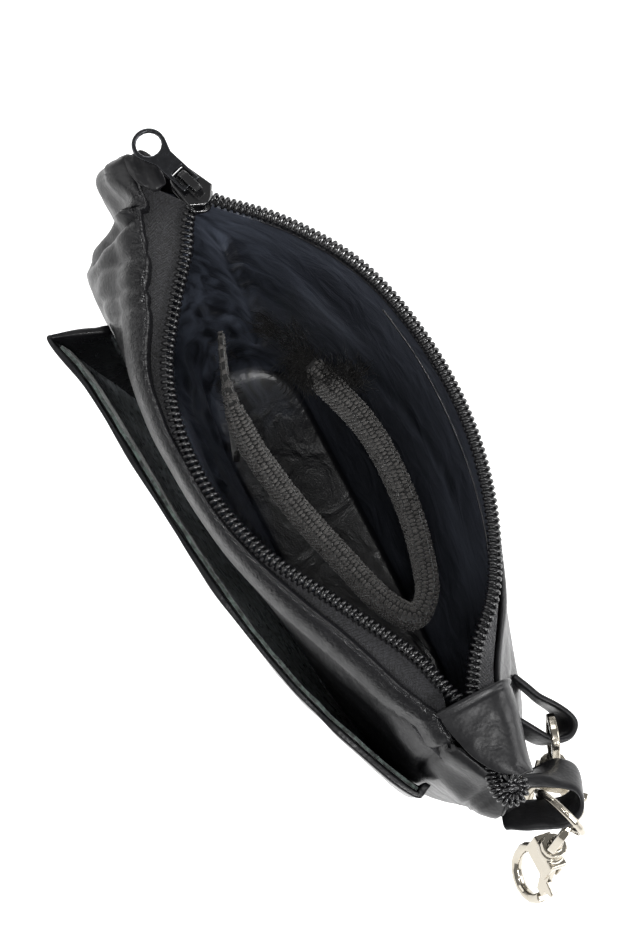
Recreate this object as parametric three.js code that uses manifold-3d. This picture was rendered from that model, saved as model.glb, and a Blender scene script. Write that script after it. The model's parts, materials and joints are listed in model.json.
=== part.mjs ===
// Small soft leather belt bag, standing upright with its top zip open.
// Millimetres, +Z up. +X runs from the open slider to the closed end of the zip,
// -Y is the front with the slip pocket, +Y the side that lies against the wearer.
// The origin is the middle of the flat base.
import * as THREE from "three";
import * as BufferGeometryUtils from "three/addons/utils/BufferGeometryUtils.js";
import Module from "manifold-3d";

const wasm = await Module();
wasm.setup();

// ---------- driving dimensions ----------
const leather = 1.5;            // thickness of the shell leather
const liningCloth = 0.8;        // thickness of the lining
const tapeCloth = 0.7;          // thickness of the zip tape
const gap = 0.4;                // room between pieces that touch
const basePlate = 2.4;          // thickness of the base
const mouthHeight = 136;        // height of the middle of the zip coil
const coilRadius = 1.6;
const edgeHeight = 130;         // where the shell starts to turn over at the top
const rollReach = 5.4;          // how far the padded front edge turns in
const rollHeight = 6;           // how far it rises above edgeHeight
const backReach = 1.4;          // the same for the thin back edge
const backHeight = 2.2;
const pocketRim = 115;          // height of the open edge of the front pocket
const hemDepth = 9;             // turned hem inside that edge
const columnsPerRib = 2;        // faces between two ribs of the table below

// Ribs round the bag, from the left end along the front to the right end and back.
// zip: the middle of the zip coil. top: shell at edgeHeight. high, mid, base: shell at those heights.
const levels = { base: basePlate + gap, mid: 60, high: 108, top: edgeHeight };
const ribs = [
  { at: "left end", zip: [-72, 0.5], top: [-94, -10.5], high: [-92, -10], mid: [-86, -6], base: [-65, 0] },
  { at: "lobe", zip: [-71, -2.5], top: [-92.5, -18.6], high: [-89.6, -17.4], mid: [-82, -16], base: [-62, -12] },
  { at: "pinch", zip: [-68, -5.5], top: [-80, -20.8], high: [-82, -19.4], mid: [-73, -20], base: [-54, -16.5] },
  { at: "bulge", zip: [-61, -9.5], top: [-70, -27], high: [-76.5, -32.8], mid: [-66, -25], base: [-46, -17] },
  { at: "waist", zip: [-50, -18], top: [-54, -34], high: [-58.2, -33.8], mid: [-50, -27], base: [-36, -17] },
  { at: "front 1", zip: [-34, -28], top: [-35, -37], high: [-36, -32.4], mid: [-33, -27], base: [-24, -17] },
  { at: "front 2", zip: [-12, -32.2], top: [-12, -38.5], high: [-12, -32.8], mid: [-11, -27], base: [-8, -17] },
  { at: "front 3", zip: [12, -28.3], top: [14, -35], high: [14, -30.4], mid: [12, -26], base: [10, -17] },
  { at: "front 4", zip: [36, -15.8], top: [40, -27], high: [40, -26.4], mid: [36, -23.5], base: [28, -17] },
  { at: "front 5", zip: [55, -5.8], top: [63, -17.6], high: [63, -18.5], mid: [59, -20], base: [44, -17] },
  { at: "end fold", zip: [66, -2.5], top: [84, -13.4], high: [83, -13.8], mid: [77, -15], base: [58, -14] },
  { at: "right end", zip: [72, 0.5], top: [98, -4], high: [95.5, -4], mid: [86, -2], base: [65, 0] },
  { at: "back 1", zip: [67.5, 3.1], top: [88, 5.6], high: [87, 8.6], mid: [79, 12.5], base: [59, 14] },
  { at: "back 2", zip: [60, 8.2], top: [69.4, 10], high: [68.6, 17.2], mid: [62.5, 19], base: [45, 17] },
  { at: "back 3", zip: [49.5, 18.3], top: [53.2, 20.8], high: [53.4, 22.8], mid: [49, 24.2], base: [29, 17] },
  { at: "back 4", zip: [32, 27.1], top: [33.2, 29.6], high: [33.2, 30.2], mid: [30, 28], base: [10, 17] },
  { at: "back 5", zip: [10, 32.5], top: [10, 35], high: [10, 34.4], mid: [9, 30], base: [-7, 17] },
  { at: "back 6", zip: [-14, 32.6], top: [-15, 34.8], high: [-15, 34], mid: [-13, 29.5], base: [-22, 17] },
  { at: "back 7", zip: [-38, 27.2], top: [-39.6, 29], high: [-39, 29.4], mid: [-34, 27], base: [-36, 17] },
  { at: "back 8", zip: [-57, 15.5], top: [-59, 16.8], high: [-60.5, 18.4], mid: [-55, 20.5], base: [-49, 17] },
  { at: "back 9", zip: [-68, 4.5], top: [-78, -1.5], high: [-79, 3], mid: [-73, 9], base: [-61, 12] },
];
const rightEnd = 11;            // index of the rib where front and back meet again

// Dents and folds of the shell: place along the ribs, height, half widths and depth inwards.
const shellFolds = [
  { rib: 2.0, height: 126, halfRibs: 0.55, halfHeight: 16, depth: 3.0 },   // stitched pinch beside the lobe
  { rib: 3.9, height: 112, halfRibs: 0.6, halfHeight: 22, depth: 1.6 },    // waist next to the pocket
  { rib: 10.0, height: 128, halfRibs: 0.35, halfHeight: 26, depth: 1.8 },  // seam where the roll ends
  { rib: 12.6, height: 118, halfRibs: 0.5, halfHeight: 20, depth: 1.6 },   // hollow behind the end tab
  { rib: 14.0, height: 84, halfRibs: 0.8, halfHeight: 14, depth: 1.4 },
  { rib: 19.5, height: 70, halfRibs: 0.7, halfHeight: 18, depth: 1.6 },
];
// Folds of the lining, which stand in from the walls.
const liningFolds = [
  { rib: 4.6, height: 112, halfRibs: 1.1, halfHeight: 15, depth: 6 },      // loose fold under the front zip
  { rib: 3.1, height: 104, halfRibs: 0.6, halfHeight: 24, depth: 5 },
  { rib: 7.0, height: 96, halfRibs: 0.9, halfHeight: 12, depth: 4 },
  { rib: 9.2, height: 100, halfRibs: 0.7, halfHeight: 20, depth: 3.5 },
  { rib: 18.3, height: 96, halfRibs: 0.8, halfHeight: 18, depth: 3.5 },
  { rib: 15.4, height: 88, halfRibs: 0.9, halfHeight: 22, depth: 3 },
];

// Front slip pocket, from the body at the left round to the body at the right.
const pocketRibs = [
  { name: "left join", rim: [-58.8, -34.9], middle: [-54, -28.3], foot: [-43, -18.2] },
  { name: "left corner", rim: [-63.4, -49.5], middle: [-56, -35.6], foot: [-43.5, -19.3] },
  { name: "left", rim: [-50, -47], middle: [-45, -36.2], foot: [-36, -19.4] },
  { name: "mid left", rim: [-30, -45.3], middle: [-27, -36.2], foot: [-22, -19.4] },
  { name: "middle", rim: [-5, -43.3], middle: [-5, -35.8], foot: [-4, -19.4] },
  { name: "mid right", rim: [20, -40.2], middle: [18, -34], foot: [16, -19.4] },
  { name: "right", rim: [46, -34.8], middle: [42, -30.8], foot: [36, -19.4] },
  { name: "far right", rim: [70, -26], middle: [62, -25.2], foot: [50, -18.8] },
  { name: "turn", rim: [84, -18.8], middle: [76.6, -20], foot: [58, -17.6] },
  { name: "right join", rim: [82.8, -15.8], middle: [75.8, -17.3], foot: [58.6, -16] },
];

const slider = {
  length: 11, width: 8.2, plate: 1.3, nose: [-69.2, 0.6], turn: 19, crownWidth: 2, crownRise: 4.2,
};
const pull = {
  length: 18.8, width: 8.6, thickness: 1.3, window: 7, windowWidth: 3.4, hole: 3.2, neck: 5.2,
};
const plateGap = coilRadius + gap;   // from the middle of the coil to the slider's plates

// ---------- materials ----------
const finish = (color, roughness, metalness = 0) =>
  new THREE.MeshStandardMaterial({ color, roughness, metalness });
const blackLeather = finish(0x1d1d20, 0.45);
const satin = finish(0x10131f, 0.35);
const tapeBlack = finish(0x1b1b1e, 0.8);
const coilBlack = finish(0x0b0b0c, 0.25);
const gunmetal = finish(0x3a3836, 0.25, 1);
const elastic = finish(0x26241f, 0.75);
const nickel = finish(0xd8d4cc, 0.18, 1);

// ---------- shape helpers ----------
const group = new THREE.Group();
group.name = "belt_bag";

function addPiece(name, geometry, material, matrix) {
  if (matrix) geometry.applyMatrix4(matrix);
  const mesh = new THREE.Mesh(geometry, material);
  mesh.name = name;
  group.add(mesh);
  return mesh;
}

// A triangle list as a geometry whose faces point outwards.
function solidFrom(points, triangles) {
  const cross = new THREE.Vector3();
  const volume = triangles.reduce(
    (sum, [a, b, c]) => sum + points[a].dot(cross.crossVectors(points[b], points[c])), 0);
  const ordered = volume < 0 ? triangles.map(([a, b, c]) => [a, c, b]) : triangles;
  const geometry = new THREE.BufferGeometry().setFromPoints(points);
  geometry.setIndex(ordered.flat());
  return geometry;
}

// The unit normals of a grid of points; a wrapped grid closes on itself along each row.
function gridNormals(grid, wrap) {
  const rows = grid.length;
  const columns = grid[0].length;
  const at = (r, c) => {
    const row = Math.min(Math.max(r, 0), rows - 1);
    const column = wrap ? (c + columns) % columns : Math.min(Math.max(c, 0), columns - 1);
    return grid[row][column];
  };
  return grid.map((row, r) => row.map((_, c) => {
    const along = new THREE.Vector3().subVectors(at(r, c + 1), at(r, c - 1));
    const up = new THREE.Vector3().subVectors(at(r + 1, c), at(r - 1, c));
    return along.cross(up).normalize();
  }));
}

const offsetGrid = (grid, distance, wrap = false) => {
  const normals = gridNormals(grid, wrap);
  return grid.map((row, r) => row.map((p, c) => p.clone().addScaledVector(normals[r][c], distance)));
};

// A wall between two grids of the same size. closeFirst fills the first row of a wrapped wall,
// which makes a cup.
function wall(outer, inner, wrap = false, closeFirst = false) {
  const rows = outer.length;
  const columns = outer[0].length;
  const points = [...outer.flat(), ...inner.flat()];
  const id = (side, r, c) => side * rows * columns + r * columns + (wrap ? c % columns : c);
  const triangles = [];
  const quad = (a, b, c, d) => triangles.push([a, b, c], [a, c, d]);
  const steps = wrap ? columns : columns - 1;
  for (let r = 0; r < rows - 1; r += 1) {
    for (let c = 0; c < steps; c += 1) {
      quad(id(0, r, c), id(0, r, c + 1), id(0, r + 1, c + 1), id(0, r + 1, c));
      quad(id(1, r, c), id(1, r + 1, c), id(1, r + 1, c + 1), id(1, r, c + 1));
    }
  }
  for (let c = 0; c < steps; c += 1) {
    quad(id(0, rows - 1, c), id(0, rows - 1, c + 1), id(1, rows - 1, c + 1), id(1, rows - 1, c));
    if (!closeFirst) quad(id(1, 0, c), id(1, 0, c + 1), id(0, 0, c + 1), id(0, 0, c));
  }
  if (!wrap) {
    for (let r = 0; r < rows - 1; r += 1) {
      quad(id(0, r, 0), id(0, r + 1, 0), id(1, r + 1, 0), id(1, r, 0));
      const last = columns - 1;
      quad(id(1, r, last), id(1, r + 1, last), id(0, r + 1, last), id(0, r, last));
    }
  }
  if (closeFirst) {
    for (const side of [0, 1]) {
      const grid = side ? inner : outer;
      const middle = grid[0].reduce((sum, p) => sum.add(p), new THREE.Vector3()).divideScalar(columns);
      const centre = points.push(middle) - 1;
      for (let c = 0; c < columns; c += 1) {
        const edge = [id(side, 0, c), id(side, 0, c + 1)];
        triangles.push(side ? [centre, edge[0], edge[1]] : [centre, edge[1], edge[0]]);
      }
    }
  }
  return solidFrom(points, triangles);
}

const sheet = (grid, thickness) => wall(grid, offsetGrid(grid, -thickness));

// A solid swept along a path of points, with a section given per point in (side, up) pairs.
const upright = new THREE.Vector3(0, 0, 1);
function sweep(path, sectionAt) {
  const grid = path.map((p, i) => {
    const before = path[Math.max(i - 1, 0)];
    const after = path[Math.min(i + 1, path.length - 1)];
    const ahead = new THREE.Vector3().subVectors(after, before).normalize();
    const side = new THREE.Vector3().crossVectors(ahead, upright).normalize();
    const up = new THREE.Vector3().crossVectors(side, ahead).normalize();
    return sectionAt(i / (path.length - 1)).map(([s, u]) =>
      p.clone().addScaledVector(side, s).addScaledVector(up, u));
  });
  const sides = grid[0].length;
  const points = grid.flat();
  const triangles = [];
  for (let r = 0; r < path.length - 1; r += 1) {
    for (let s = 0; s < sides; s += 1) {
      const t = (s + 1) % sides;
      triangles.push([r * sides + s, r * sides + t, (r + 1) * sides + t]);
      triangles.push([r * sides + s, (r + 1) * sides + t, (r + 1) * sides + s]);
    }
  }
  for (const end of [0, path.length - 1]) {
    for (let s = 1; s < sides - 1; s += 1) {
      const cap = [end * sides, end * sides + s, end * sides + s + 1];
      triangles.push(end ? cap : cap.reverse());
    }
  }
  return solidFrom(points, triangles);
}

const round = (radius, sides = 8) => Array.from({ length: sides }, (_, i) => {
  const angle = (i + 0.5) / sides * 2 * Math.PI;
  return [radius * Math.cos(angle), radius * Math.sin(angle)];
});
const oval = (width, height, squareness = 0.6) => round(1).map(([s, u]) => [
  Math.sign(s) * Math.abs(s) ** squareness * width / 2,
  Math.sign(u) * Math.abs(u) ** squareness * height / 2]);
const spline = (points) => new THREE.CatmullRomCurve3(points.map((p) => new THREE.Vector3(...p)));
const curve = (points, steps) => spline(points).getSpacedPoints(steps);

// A round wire along a curve.
function wire(points, radius, steps) {
  const path = spline(points);
  const section = new THREE.Shape(round(radius).map(([x, y]) => new THREE.Vector2(x, y)));
  return new THREE.ExtrudeGeometry(section, { steps, bevelEnabled: false, extrudePath: path });
}

// An outline in the XZ plane, extruded along Y and centred on it.
function plate(outline, thickness, curveSegments = 6) {
  const settings = { depth: thickness, bevelEnabled: false, curveSegments };
  const geometry = new THREE.ExtrudeGeometry(outline, settings);
  return geometry.translate(0, 0, -thickness / 2).rotateX(Math.PI / 2);
}
// An outline in the XY plane with softened edges, centred on it.
function softPlate(outline, thickness, edge, curveSegments) {
  const geometry = new THREE.ExtrudeGeometry(outline, {
    depth: thickness - 2 * edge, bevelThickness: edge, bevelSize: edge, bevelOffset: -edge, bevelSegments: 1,
    curveSegments,
  });
  return geometry.translate(0, 0, edge - thickness / 2);
}

const circleHole = (x, y, radius) => new THREE.Path().absarc(x, y, radius, 0, 2 * Math.PI, true);

// Joins and cuts of closed geometries.
function toSolid(geometry) {
  const bare = geometry.clone();
  bare.deleteAttribute("normal");
  bare.deleteAttribute("uv");
  const merged = BufferGeometryUtils.mergeVertices(bare, 1e-4);
  return new wasm.Manifold(new wasm.Mesh({
    numProp: 3,
    vertProperties: new Float32Array(merged.attributes.position.array),
    triVerts: new Uint32Array(merged.index.array),
  }));
}
function fromSolid(solid) {
  const mesh = solid.getMesh();
  const geometry = new THREE.BufferGeometry();
  geometry.setAttribute("position", new THREE.BufferAttribute(new Float32Array(mesh.vertProperties), 3));
  geometry.setIndex([...mesh.triVerts]);
  return geometry;
}
const join = (...parts) => fromSolid(parts.map(toSolid).reduce((sum, part) => sum.add(part)));
const cut = (body, ...tools) => fromSolid(
  tools.map(toSolid).reduce((left, tool) => left.subtract(tool), toSolid(body)));

// ---------- the surfaces of the bag ----------
// A point of one column of the rib table, at a place counted in ribs.
const ribLine = (column, height) => new THREE.CatmullRomCurve3(
  ribs.map((rib) => new THREE.Vector3(...rib[column], height)), true);
const ribLines = {
  zip: ribLine("zip", mouthHeight),
  top: ribLine("top", levels.top),
  high: ribLine("high", levels.high),
  mid: ribLine("mid", levels.mid),
  base: ribLine("base", levels.base),
};
const ribPoint = (column, place) => {
  const share = place / ribs.length;
  return ribLines[column].getPoint(share - Math.floor(share));
};

const hump = (distance, half) => (
  Math.abs(distance) < half ? Math.cos(distance / half * Math.PI / 2) ** 2 : 0);
const foldDepth = (folds, place, height) => folds.reduce((sum, fold) => {
  const offset = place - fold.rib - ribs.length * Math.round((place - fold.rib) / ribs.length);
  return sum + fold.depth * hump(offset, fold.halfRibs) * hump(height - fold.height, fold.halfHeight);
}, 0);

// The shell at one place and height, without folds.
function shellPoint(place, height) {
  const stack = new THREE.CatmullRomCurve3(
    [ribPoint("base", place), ribPoint("mid", place), ribPoint("high", place), ribPoint("top", place)]);
  let low = 0;
  let high = 1;
  for (let i = 0; i < 24; i += 1) {
    const middle = (low + high) / 2;
    if (stack.getPoint(middle).z < height) low = middle;
    else high = middle;
  }
  return stack.getPoint(high);
}

const places = (from, to) => Array.from(
  { length: (to - from) * columnsPerRib + 1 }, (_, i) => from + i / columnsPerRib);
const wallHeights = [levels.base, 16, 34, 52, 70, 86, 100, 112, 122, levels.top];

function shellGrid(columns, heights, folds, wrap = false) {
  const plain = heights.map((height) => columns.map((place) => shellPoint(place, height)));
  const normals = gridNormals(plain, wrap);
  return plain.map((row, r) => row.map((p, c) => {
    const depth = foldDepth(folds, columns[c], heights[r]);
    const inward = normals[r][c].clone().setZ(0).normalize();
    return p.clone().addScaledVector(inward, -depth);
  }));
}

// The turned-over top edge: shares of its reach and rise, from the shell to the zip tape.
const rollProfile = [[0.04, 0.4], [0.2, 0.72], [0.48, 0.9], [0.76, 1], [0.95, 0.8], [1, 0.42]];
const backProfile = [[0.2, 0.75], [1, 1]];
// The padded roll thins out where it runs into the right end.
const fullness = (place) => (place <= rightEnd
  ? 1 - 0.6 * THREE.MathUtils.smoothstep(place, rightEnd - 0.6, rightEnd) : 1);
function turnedEdge(edgeRow, columns, profile, reach, rise) {
  return profile.map(([across, up]) => edgeRow.map((p, c) => {
    const target = ribPoint("zip", columns[c]);
    const way = new THREE.Vector3(target.x - p.x, target.y - p.y, 0);
    const room = Math.min(reach * fullness(columns[c]), way.length() - coilRadius - gap);
    const height = p.z + up * rise * fullness(columns[c]);
    return p.clone().addScaledVector(way.normalize(), across * room).setZ(height);
  }));
}

// ---------- leather shell ----------
const seam = 0.06;              // half the seam between front and back, in ribs
const panelPlaces = (from, to) => {
  const columns = places(from, to);
  columns[0] += seam;
  columns[columns.length - 1] -= seam;
  return columns;
};
// A panel runs from seam to seam. One more column at each side, dropped again, keeps its two
// edges square to the neighbouring panel.
function panel(from, to, profile, reach, rise) {
  const columns = [from - 1 / columnsPerRib, ...panelPlaces(from, to), to + 1 / columnsPerRib];
  const side = shellGrid(columns, wallHeights, shellFolds);
  const outer = [...side, ...turnedEdge(side.at(-1), columns, profile, reach, rise)];
  const inner = offsetGrid(outer, -leather);
  inner[0].forEach((p) => p.setZ(wallHeights[0]));
  return wall(outer.map((row) => row.slice(1, -1)), inner.map((row) => row.slice(1, -1)));
}
addPiece("front_panel", panel(0, rightEnd, rollProfile, rollReach, rollHeight), blackLeather);
addPiece("back_panel", panel(rightEnd, ribs.length, backProfile, backReach, backHeight), blackLeather);
const frontPlaces = panelPlaces(0, rightEnd);
const backPlaces = panelPlaces(rightEnd, ribs.length);

const baseOutline = new THREE.Shape(places(0, ribs.length).slice(0, -1).map((place) => {
  const p = ribPoint("base", place);
  return new THREE.Vector2(p.x, p.y);
}));
addPiece("base_panel", new THREE.ExtrudeGeometry(baseOutline, { depth: basePlate, bevelEnabled: false }),
  blackLeather);

// ---------- lining ----------
const ringPlaces = places(0, ribs.length).slice(0, -1);
const liningOffset = leather + gap + 0.7;
const liningHeights = [levels.base + 1.5, 22, 44, 64, 80, 94, 106, 116];
const liningWall = offsetGrid(shellGrid(ringPlaces, liningHeights, shellFolds, true), -liningOffset, true)
  .map((row, r) => row.map((p, c) => {
    const depth = foldDepth(liningFolds, ringPlaces[c], liningHeights[r]);
    const inward = new THREE.Vector3(-p.x * 0.15, -p.y, 0).normalize();
    return p.clone().addScaledVector(inward, depth).setZ(liningHeights[r]);
  }));
const liningTop = [[0.6, 124], [1, mouthHeight - plateGap - slider.plate - 2 * gap]]
  .map(([share, height]) => ringPlaces.map((place, c) =>
    liningWall.at(-1)[c].clone().lerp(ribPoint("zip", place), share).setZ(height)));
const liningGrid = [...liningWall, ...liningTop];
addPiece("lining", wall(liningGrid, offsetGrid(liningGrid, -liningCloth, true), true, true), satin);

// ---------- zip ----------
// A tape starts beside the coil and ends at the shell, a given distance in from its outer face.
// Each row of the profile is a share of that way and a height.
function tape(columns, inset, profileAt) {
  const stations = columns.map((place) => {
    const ahead = ribPoint("zip", place + 0.05).sub(ribPoint("zip", place - 0.05)).normalize();
    const outward = new THREE.Vector3(ahead.y, -ahead.x, 0);
    const start = ribPoint("zip", place).addScaledVector(outward, coilRadius + 2 * gap);
    const way = shellPoint(place, levels.top).sub(start).setZ(0);
    if (way.dot(outward) < 1) way.copy(outward);
    const length = Math.max(way.length() - inset - foldDepth(shellFolds, place, levels.top), 0.8);
    way.normalize();
    return profileAt(place, length).map(([along, height]) =>
      start.clone().addScaledVector(way, along).setZ(height));
  });
  const rows = stations[0].map((_, r) => stations.map((station) => station[r]));
  return sheet(rows.reverse(), tapeCloth);
}
const tapeHeight = mouthHeight - 0.4;
// The front tape dips under the lip of the roll; where the roll meets the coil it is all hidden.
const lipShare = rollProfile.at(-1)[1];
function frontTapeProfile(place, length) {
  const under = edgeHeight + lipShare * rollHeight * fullness(place) - 1.6 * gap;
  const open = Math.max(length - (rollReach * fullness(place) - frontTapeInset), 0);
  const show = THREE.MathUtils.smoothstep(open, 0.4, 3);
  const dip = Math.min(open + 0.2, length - 0.4);
  return [[0, under + show * (tapeHeight - under)], [dip * 0.5, under + show * (tapeHeight - under) * 0.8],
    [dip, under], [length, under - 0.4]];
}
function backTapeProfile(place, length) {
  const fall = 1.6 * (1 - THREE.MathUtils.smoothstep(place, 19, 20));
  return [[0, tapeHeight], [length * 0.5, tapeHeight - 0.5 * fall], [length, tapeHeight - fall]];
}
const frontTapeInset = 3.3;
const backTapeInset = 0.6;
const trimmed = (columns, from, to) => columns.filter((place) => place > from && place < to);
addPiece("front_tape", tape(trimmed(frontPlaces, 0.9, 10.2), frontTapeInset, frontTapeProfile), tapeBlack);
addPiece("back_tape", tape(trimmed(backPlaces, 11.9, 20.2), backTapeInset, backTapeProfile), tapeBlack);

const coilPath = (from, to) => {
  const count = Math.round((to - from) * 2.5);
  return Array.from({ length: count + 1 }, (_, i) => ribPoint("zip", from + (to - from) * i / count));
};
addPiece("front_coil", sweep(coilPath(1.2, 10.6), () => round(coilRadius)), coilBlack);
addPiece("back_coil", sweep(coilPath(11.6, 20.3), () => round(coilRadius)), coilBlack);

// The closed end of the zip, which curls up past the end tab.
const tailPath = curve([[73, 0.4, 134.6], [80, -1, 134.4], [87, -2, 134.8], [93, -2.6, 136],
  [97, -0.6, 137.2], [96.6, 2.6, 138.6], [93.8, 2.8, 139.8], [93.2, 0, 140.6]], 18);
addPiece("zip_tail", sweep(tailPath, (t) => oval(3.4 + 0.6 * t, 3)), coilBlack);

// Slider: two plates round the coil, held by a post, with the crown that keeps the pull.
const sliderFrame = new THREE.Matrix4().makeTranslation(slider.nose[0], slider.nose[1], mouthHeight)
  .multiply(new THREE.Matrix4().makeRotationZ(slider.turn * Math.PI / 180));
const sliderHalf = slider.width / 2;
function sliderPlate(height) {
  const outline = new THREE.Shape();
  outline.moveTo(0, -1.4);
  outline.quadraticCurveTo(0.8, 0, 0, 1.4);
  outline.lineTo(-2.4, sliderHalf);
  outline.lineTo(-slider.length + 1.6, sliderHalf * 0.78);
  outline.quadraticCurveTo(-slider.length, sliderHalf * 0.7, -slider.length, sliderHalf * 0.4);
  outline.lineTo(-slider.length, -sliderHalf * 0.4);
  outline.quadraticCurveTo(-slider.length, -sliderHalf * 0.7, -slider.length + 1.6, -sliderHalf * 0.78);
  outline.lineTo(-2.4, -sliderHalf);
  return softPlate(outline, slider.plate, 0.3, 4).translate(0, 0, height);
}
const crownMiddle = -slider.length / 2 - 0.4;
const barHeight = plateGap + slider.plate + 1.7;
const crownOutline = new THREE.Shape();
crownOutline.moveTo(crownMiddle - 4, plateGap + slider.plate - 0.2);
crownOutline.lineTo(crownMiddle - 3.4, plateGap + slider.plate + slider.crownRise - 1.2);
crownOutline.quadraticCurveTo(crownMiddle - 3, plateGap + slider.plate + slider.crownRise,
  crownMiddle - 1.6, plateGap + slider.plate + slider.crownRise);
crownOutline.lineTo(crownMiddle + 1.6, plateGap + slider.plate + slider.crownRise);
crownOutline.quadraticCurveTo(crownMiddle + 3, plateGap + slider.plate + slider.crownRise,
  crownMiddle + 3.4, plateGap + slider.plate + slider.crownRise - 1.2);
crownOutline.lineTo(crownMiddle + 4, plateGap + slider.plate - 0.2);
const crownWindow = new THREE.Path();
crownWindow.moveTo(crownMiddle - 2.4, plateGap + slider.plate + 0.25);
crownWindow.lineTo(crownMiddle + 2.4, plateGap + slider.plate + 0.25);
crownWindow.lineTo(crownMiddle + 2.2, plateGap + slider.plate + slider.crownRise - 1.1);
crownWindow.lineTo(crownMiddle - 2.2, plateGap + slider.plate + slider.crownRise - 1.1);
const post = new THREE.BoxGeometry(1.6, 1.2, 2 * plateGap + 0.4).translate(-1.2, 0, 0);
crownOutline.holes.push(crownWindow);
const plateMiddle = plateGap + slider.plate / 2;
addPiece("zip_slider", join(sliderPlate(plateMiddle), sliderPlate(-plateMiddle), post,
  plate(crownOutline, slider.crownWidth)), gunmetal, sliderFrame);

// Pull: a flat tab with a ring end, whose cross bar lies in the crown.
const pullHalf = pull.width / 2;
const neckHalf = pull.neck / 2;
const barHalf = pull.thickness / 2;
const pullOutline = new THREE.Shape();
pullOutline.moveTo(barHalf, -neckHalf);
pullOutline.lineTo(barHalf, neckHalf);
pullOutline.lineTo(-pull.length * 0.5, neckHalf);
pullOutline.lineTo(-pull.length + pullHalf + 1.4, pullHalf * 0.97);
pullOutline.absarc(-pull.length + pullHalf, 0, pullHalf, Math.PI * 0.4, Math.PI * 1.6, false);
pullOutline.lineTo(-pull.length * 0.5, -neckHalf);
const pullWindow = new THREE.Path();
pullWindow.moveTo(-barHalf, -pull.windowWidth / 2);
pullWindow.lineTo(-pull.window, -pull.windowWidth / 2);
pullWindow.lineTo(-pull.window, pull.windowWidth / 2);
pullWindow.lineTo(-barHalf, pull.windowWidth / 2);
pullOutline.holes.push(pullWindow, circleHole(-pull.length + pullHalf, 0, pull.hole));
const pullFrame = sliderFrame.clone()
  .multiply(new THREE.Matrix4().makeTranslation(crownMiddle, 0, barHeight));
addPiece("zip_pull", softPlate(pullOutline, pull.thickness, 0.25, 8), gunmetal, pullFrame);

// ---------- leather tabs at both ends of the zip ----------
// Rows run along the tab, points across it from the front to the back.
const endTabRows = [
  { x: 69.6, across: [[-7.4, 136.8], [-4, 138], [2, 139], [7.6, 139.6], [9.6, 138], [10.6, 134.8]] },
  { x: 77, across: [[-6.2, 136.8], [-3.2, 138.2], [2, 139], [6.6, 139.2], [8.2, 137.4], [9, 134.4]] },
  { x: 84, across: [[-3.8, 137.2], [-1.6, 138.4], [2, 138.8], [5.4, 138.6], [6.6, 136.8], [7.2, 134.2]] },
  { x: 88.6, across: [[-0.8, 137.8], [0.6, 138.4], [2.6, 138.4], [4.6, 138], [5.6, 136.4], [6, 134.2]] },
  { x: 91.8, across: [[3, 138], [3.4, 138], [4.2, 137.8], [4.8, 137.2], [5.2, 135.8], [5.4, 134.4]] },
];
const tab = (rows) => sheet(
  rows.map((row) => row.across.map(([y, z]) => new THREE.Vector3(row.x, y, z))), leather);
addPiece("end_tab", tab(endTabRows), blackLeather);

const sliderTabRows = [
  { x: -89.4, across: [[-12.6, 136.8], [-10.6, 137.2], [-8.6, 136.8]] },
  { x: -85.4, across: [[-13.6, 136.9], [-10, 137.4], [-6.4, 136.9]] },
  { x: -80.6, across: [[-12, 137], [-8.8, 137.5], [-5.8, 137]] },
  { x: -78.2, across: [[-9.8, 137], [-8, 137.3], [-6.6, 137]] },
];
addPiece("slider_tab", tab(sliderTabRows), blackLeather);

// ---------- front pocket ----------
const pocketLine = (column, height) => new THREE.CatmullRomCurve3(
  pocketRibs.map((rib) => new THREE.Vector3(...rib[column], height)));
const pocketHeights = { foot: 6, middle: 62, rim: pocketRim };
const pocketLines = Object.fromEntries(Object.entries(pocketHeights).map(
  ([column, height]) => [column, pocketLine(column, height)]));
// The corner at the left stays sharp, so the columns crowd there.
const pocketColumns = [
  0, 0.5, 0.9, 1, 1.12, 1.4, 2, 2.5, 3, 3.5, 4, 4.5, 5, 5.5, 6, 6.5, 7, 7.5, 7.85, 8.1, 8.4, 8.7, 9,
];
function pocketGrid(heights, inset) {
  const grid = heights.map((height) => pocketColumns.map((place) => {
    const share = place / (pocketRibs.length - 1);
    const stack = new THREE.CatmullRomCurve3([pocketLines.foot.getPoint(share),
      pocketLines.middle.getPoint(share), pocketLines.rim.getPoint(share)]);
    const along = height < pocketHeights.middle
      ? 0.5 * (height - pocketHeights.foot) / (pocketHeights.middle - pocketHeights.foot)
      : 0.5 + 0.5 * (height - pocketHeights.middle) / (pocketHeights.rim - pocketHeights.middle);
    return stack.getPoint(along).setZ(height);
  }));
  return inset ? offsetGrid(grid, -inset) : grid;
}
const pocketColumn = [6, 22, 42, 62, 80, 98, pocketRim];
addPiece("front_pocket", sheet(pocketGrid(pocketColumn, 0), leather), blackLeather);
const hemGrid = pocketGrid([pocketRim - hemDepth, pocketRim - 1], leather + gap)
  .map((row) => row.filter((_, c) => pocketColumns[c] > 1.2 && pocketColumns[c] < 8));
addPiece("pocket_hem", sheet(hemGrid, 0.9), blackLeather);

// ---------- elastic loop inside, with its frayed cut ends ----------
const elasticHeight = 100;
const elasticBand = { width: 5.4, height: 15 };
const atHeight = (points, height) => points.map(([x, y]) => [x, y, height]);
const loopPath = curve(atHeight([[-46.4, -8.4], [-36.4, -12.4], [-22, -14.6], [0, -12], [20, -7],
  [36, -2], [41.5, 2.5], [38.5, 7.5], [27, 12], [10, 14.8], [-8, 14.6], [-20, 11.6], [-29, 8.6]], elasticHeight), 34);
addPiece("elastic_loop", sweep(loopPath, () => oval(elasticBand.width, elasticBand.height, 0.55)), elastic);
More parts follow.
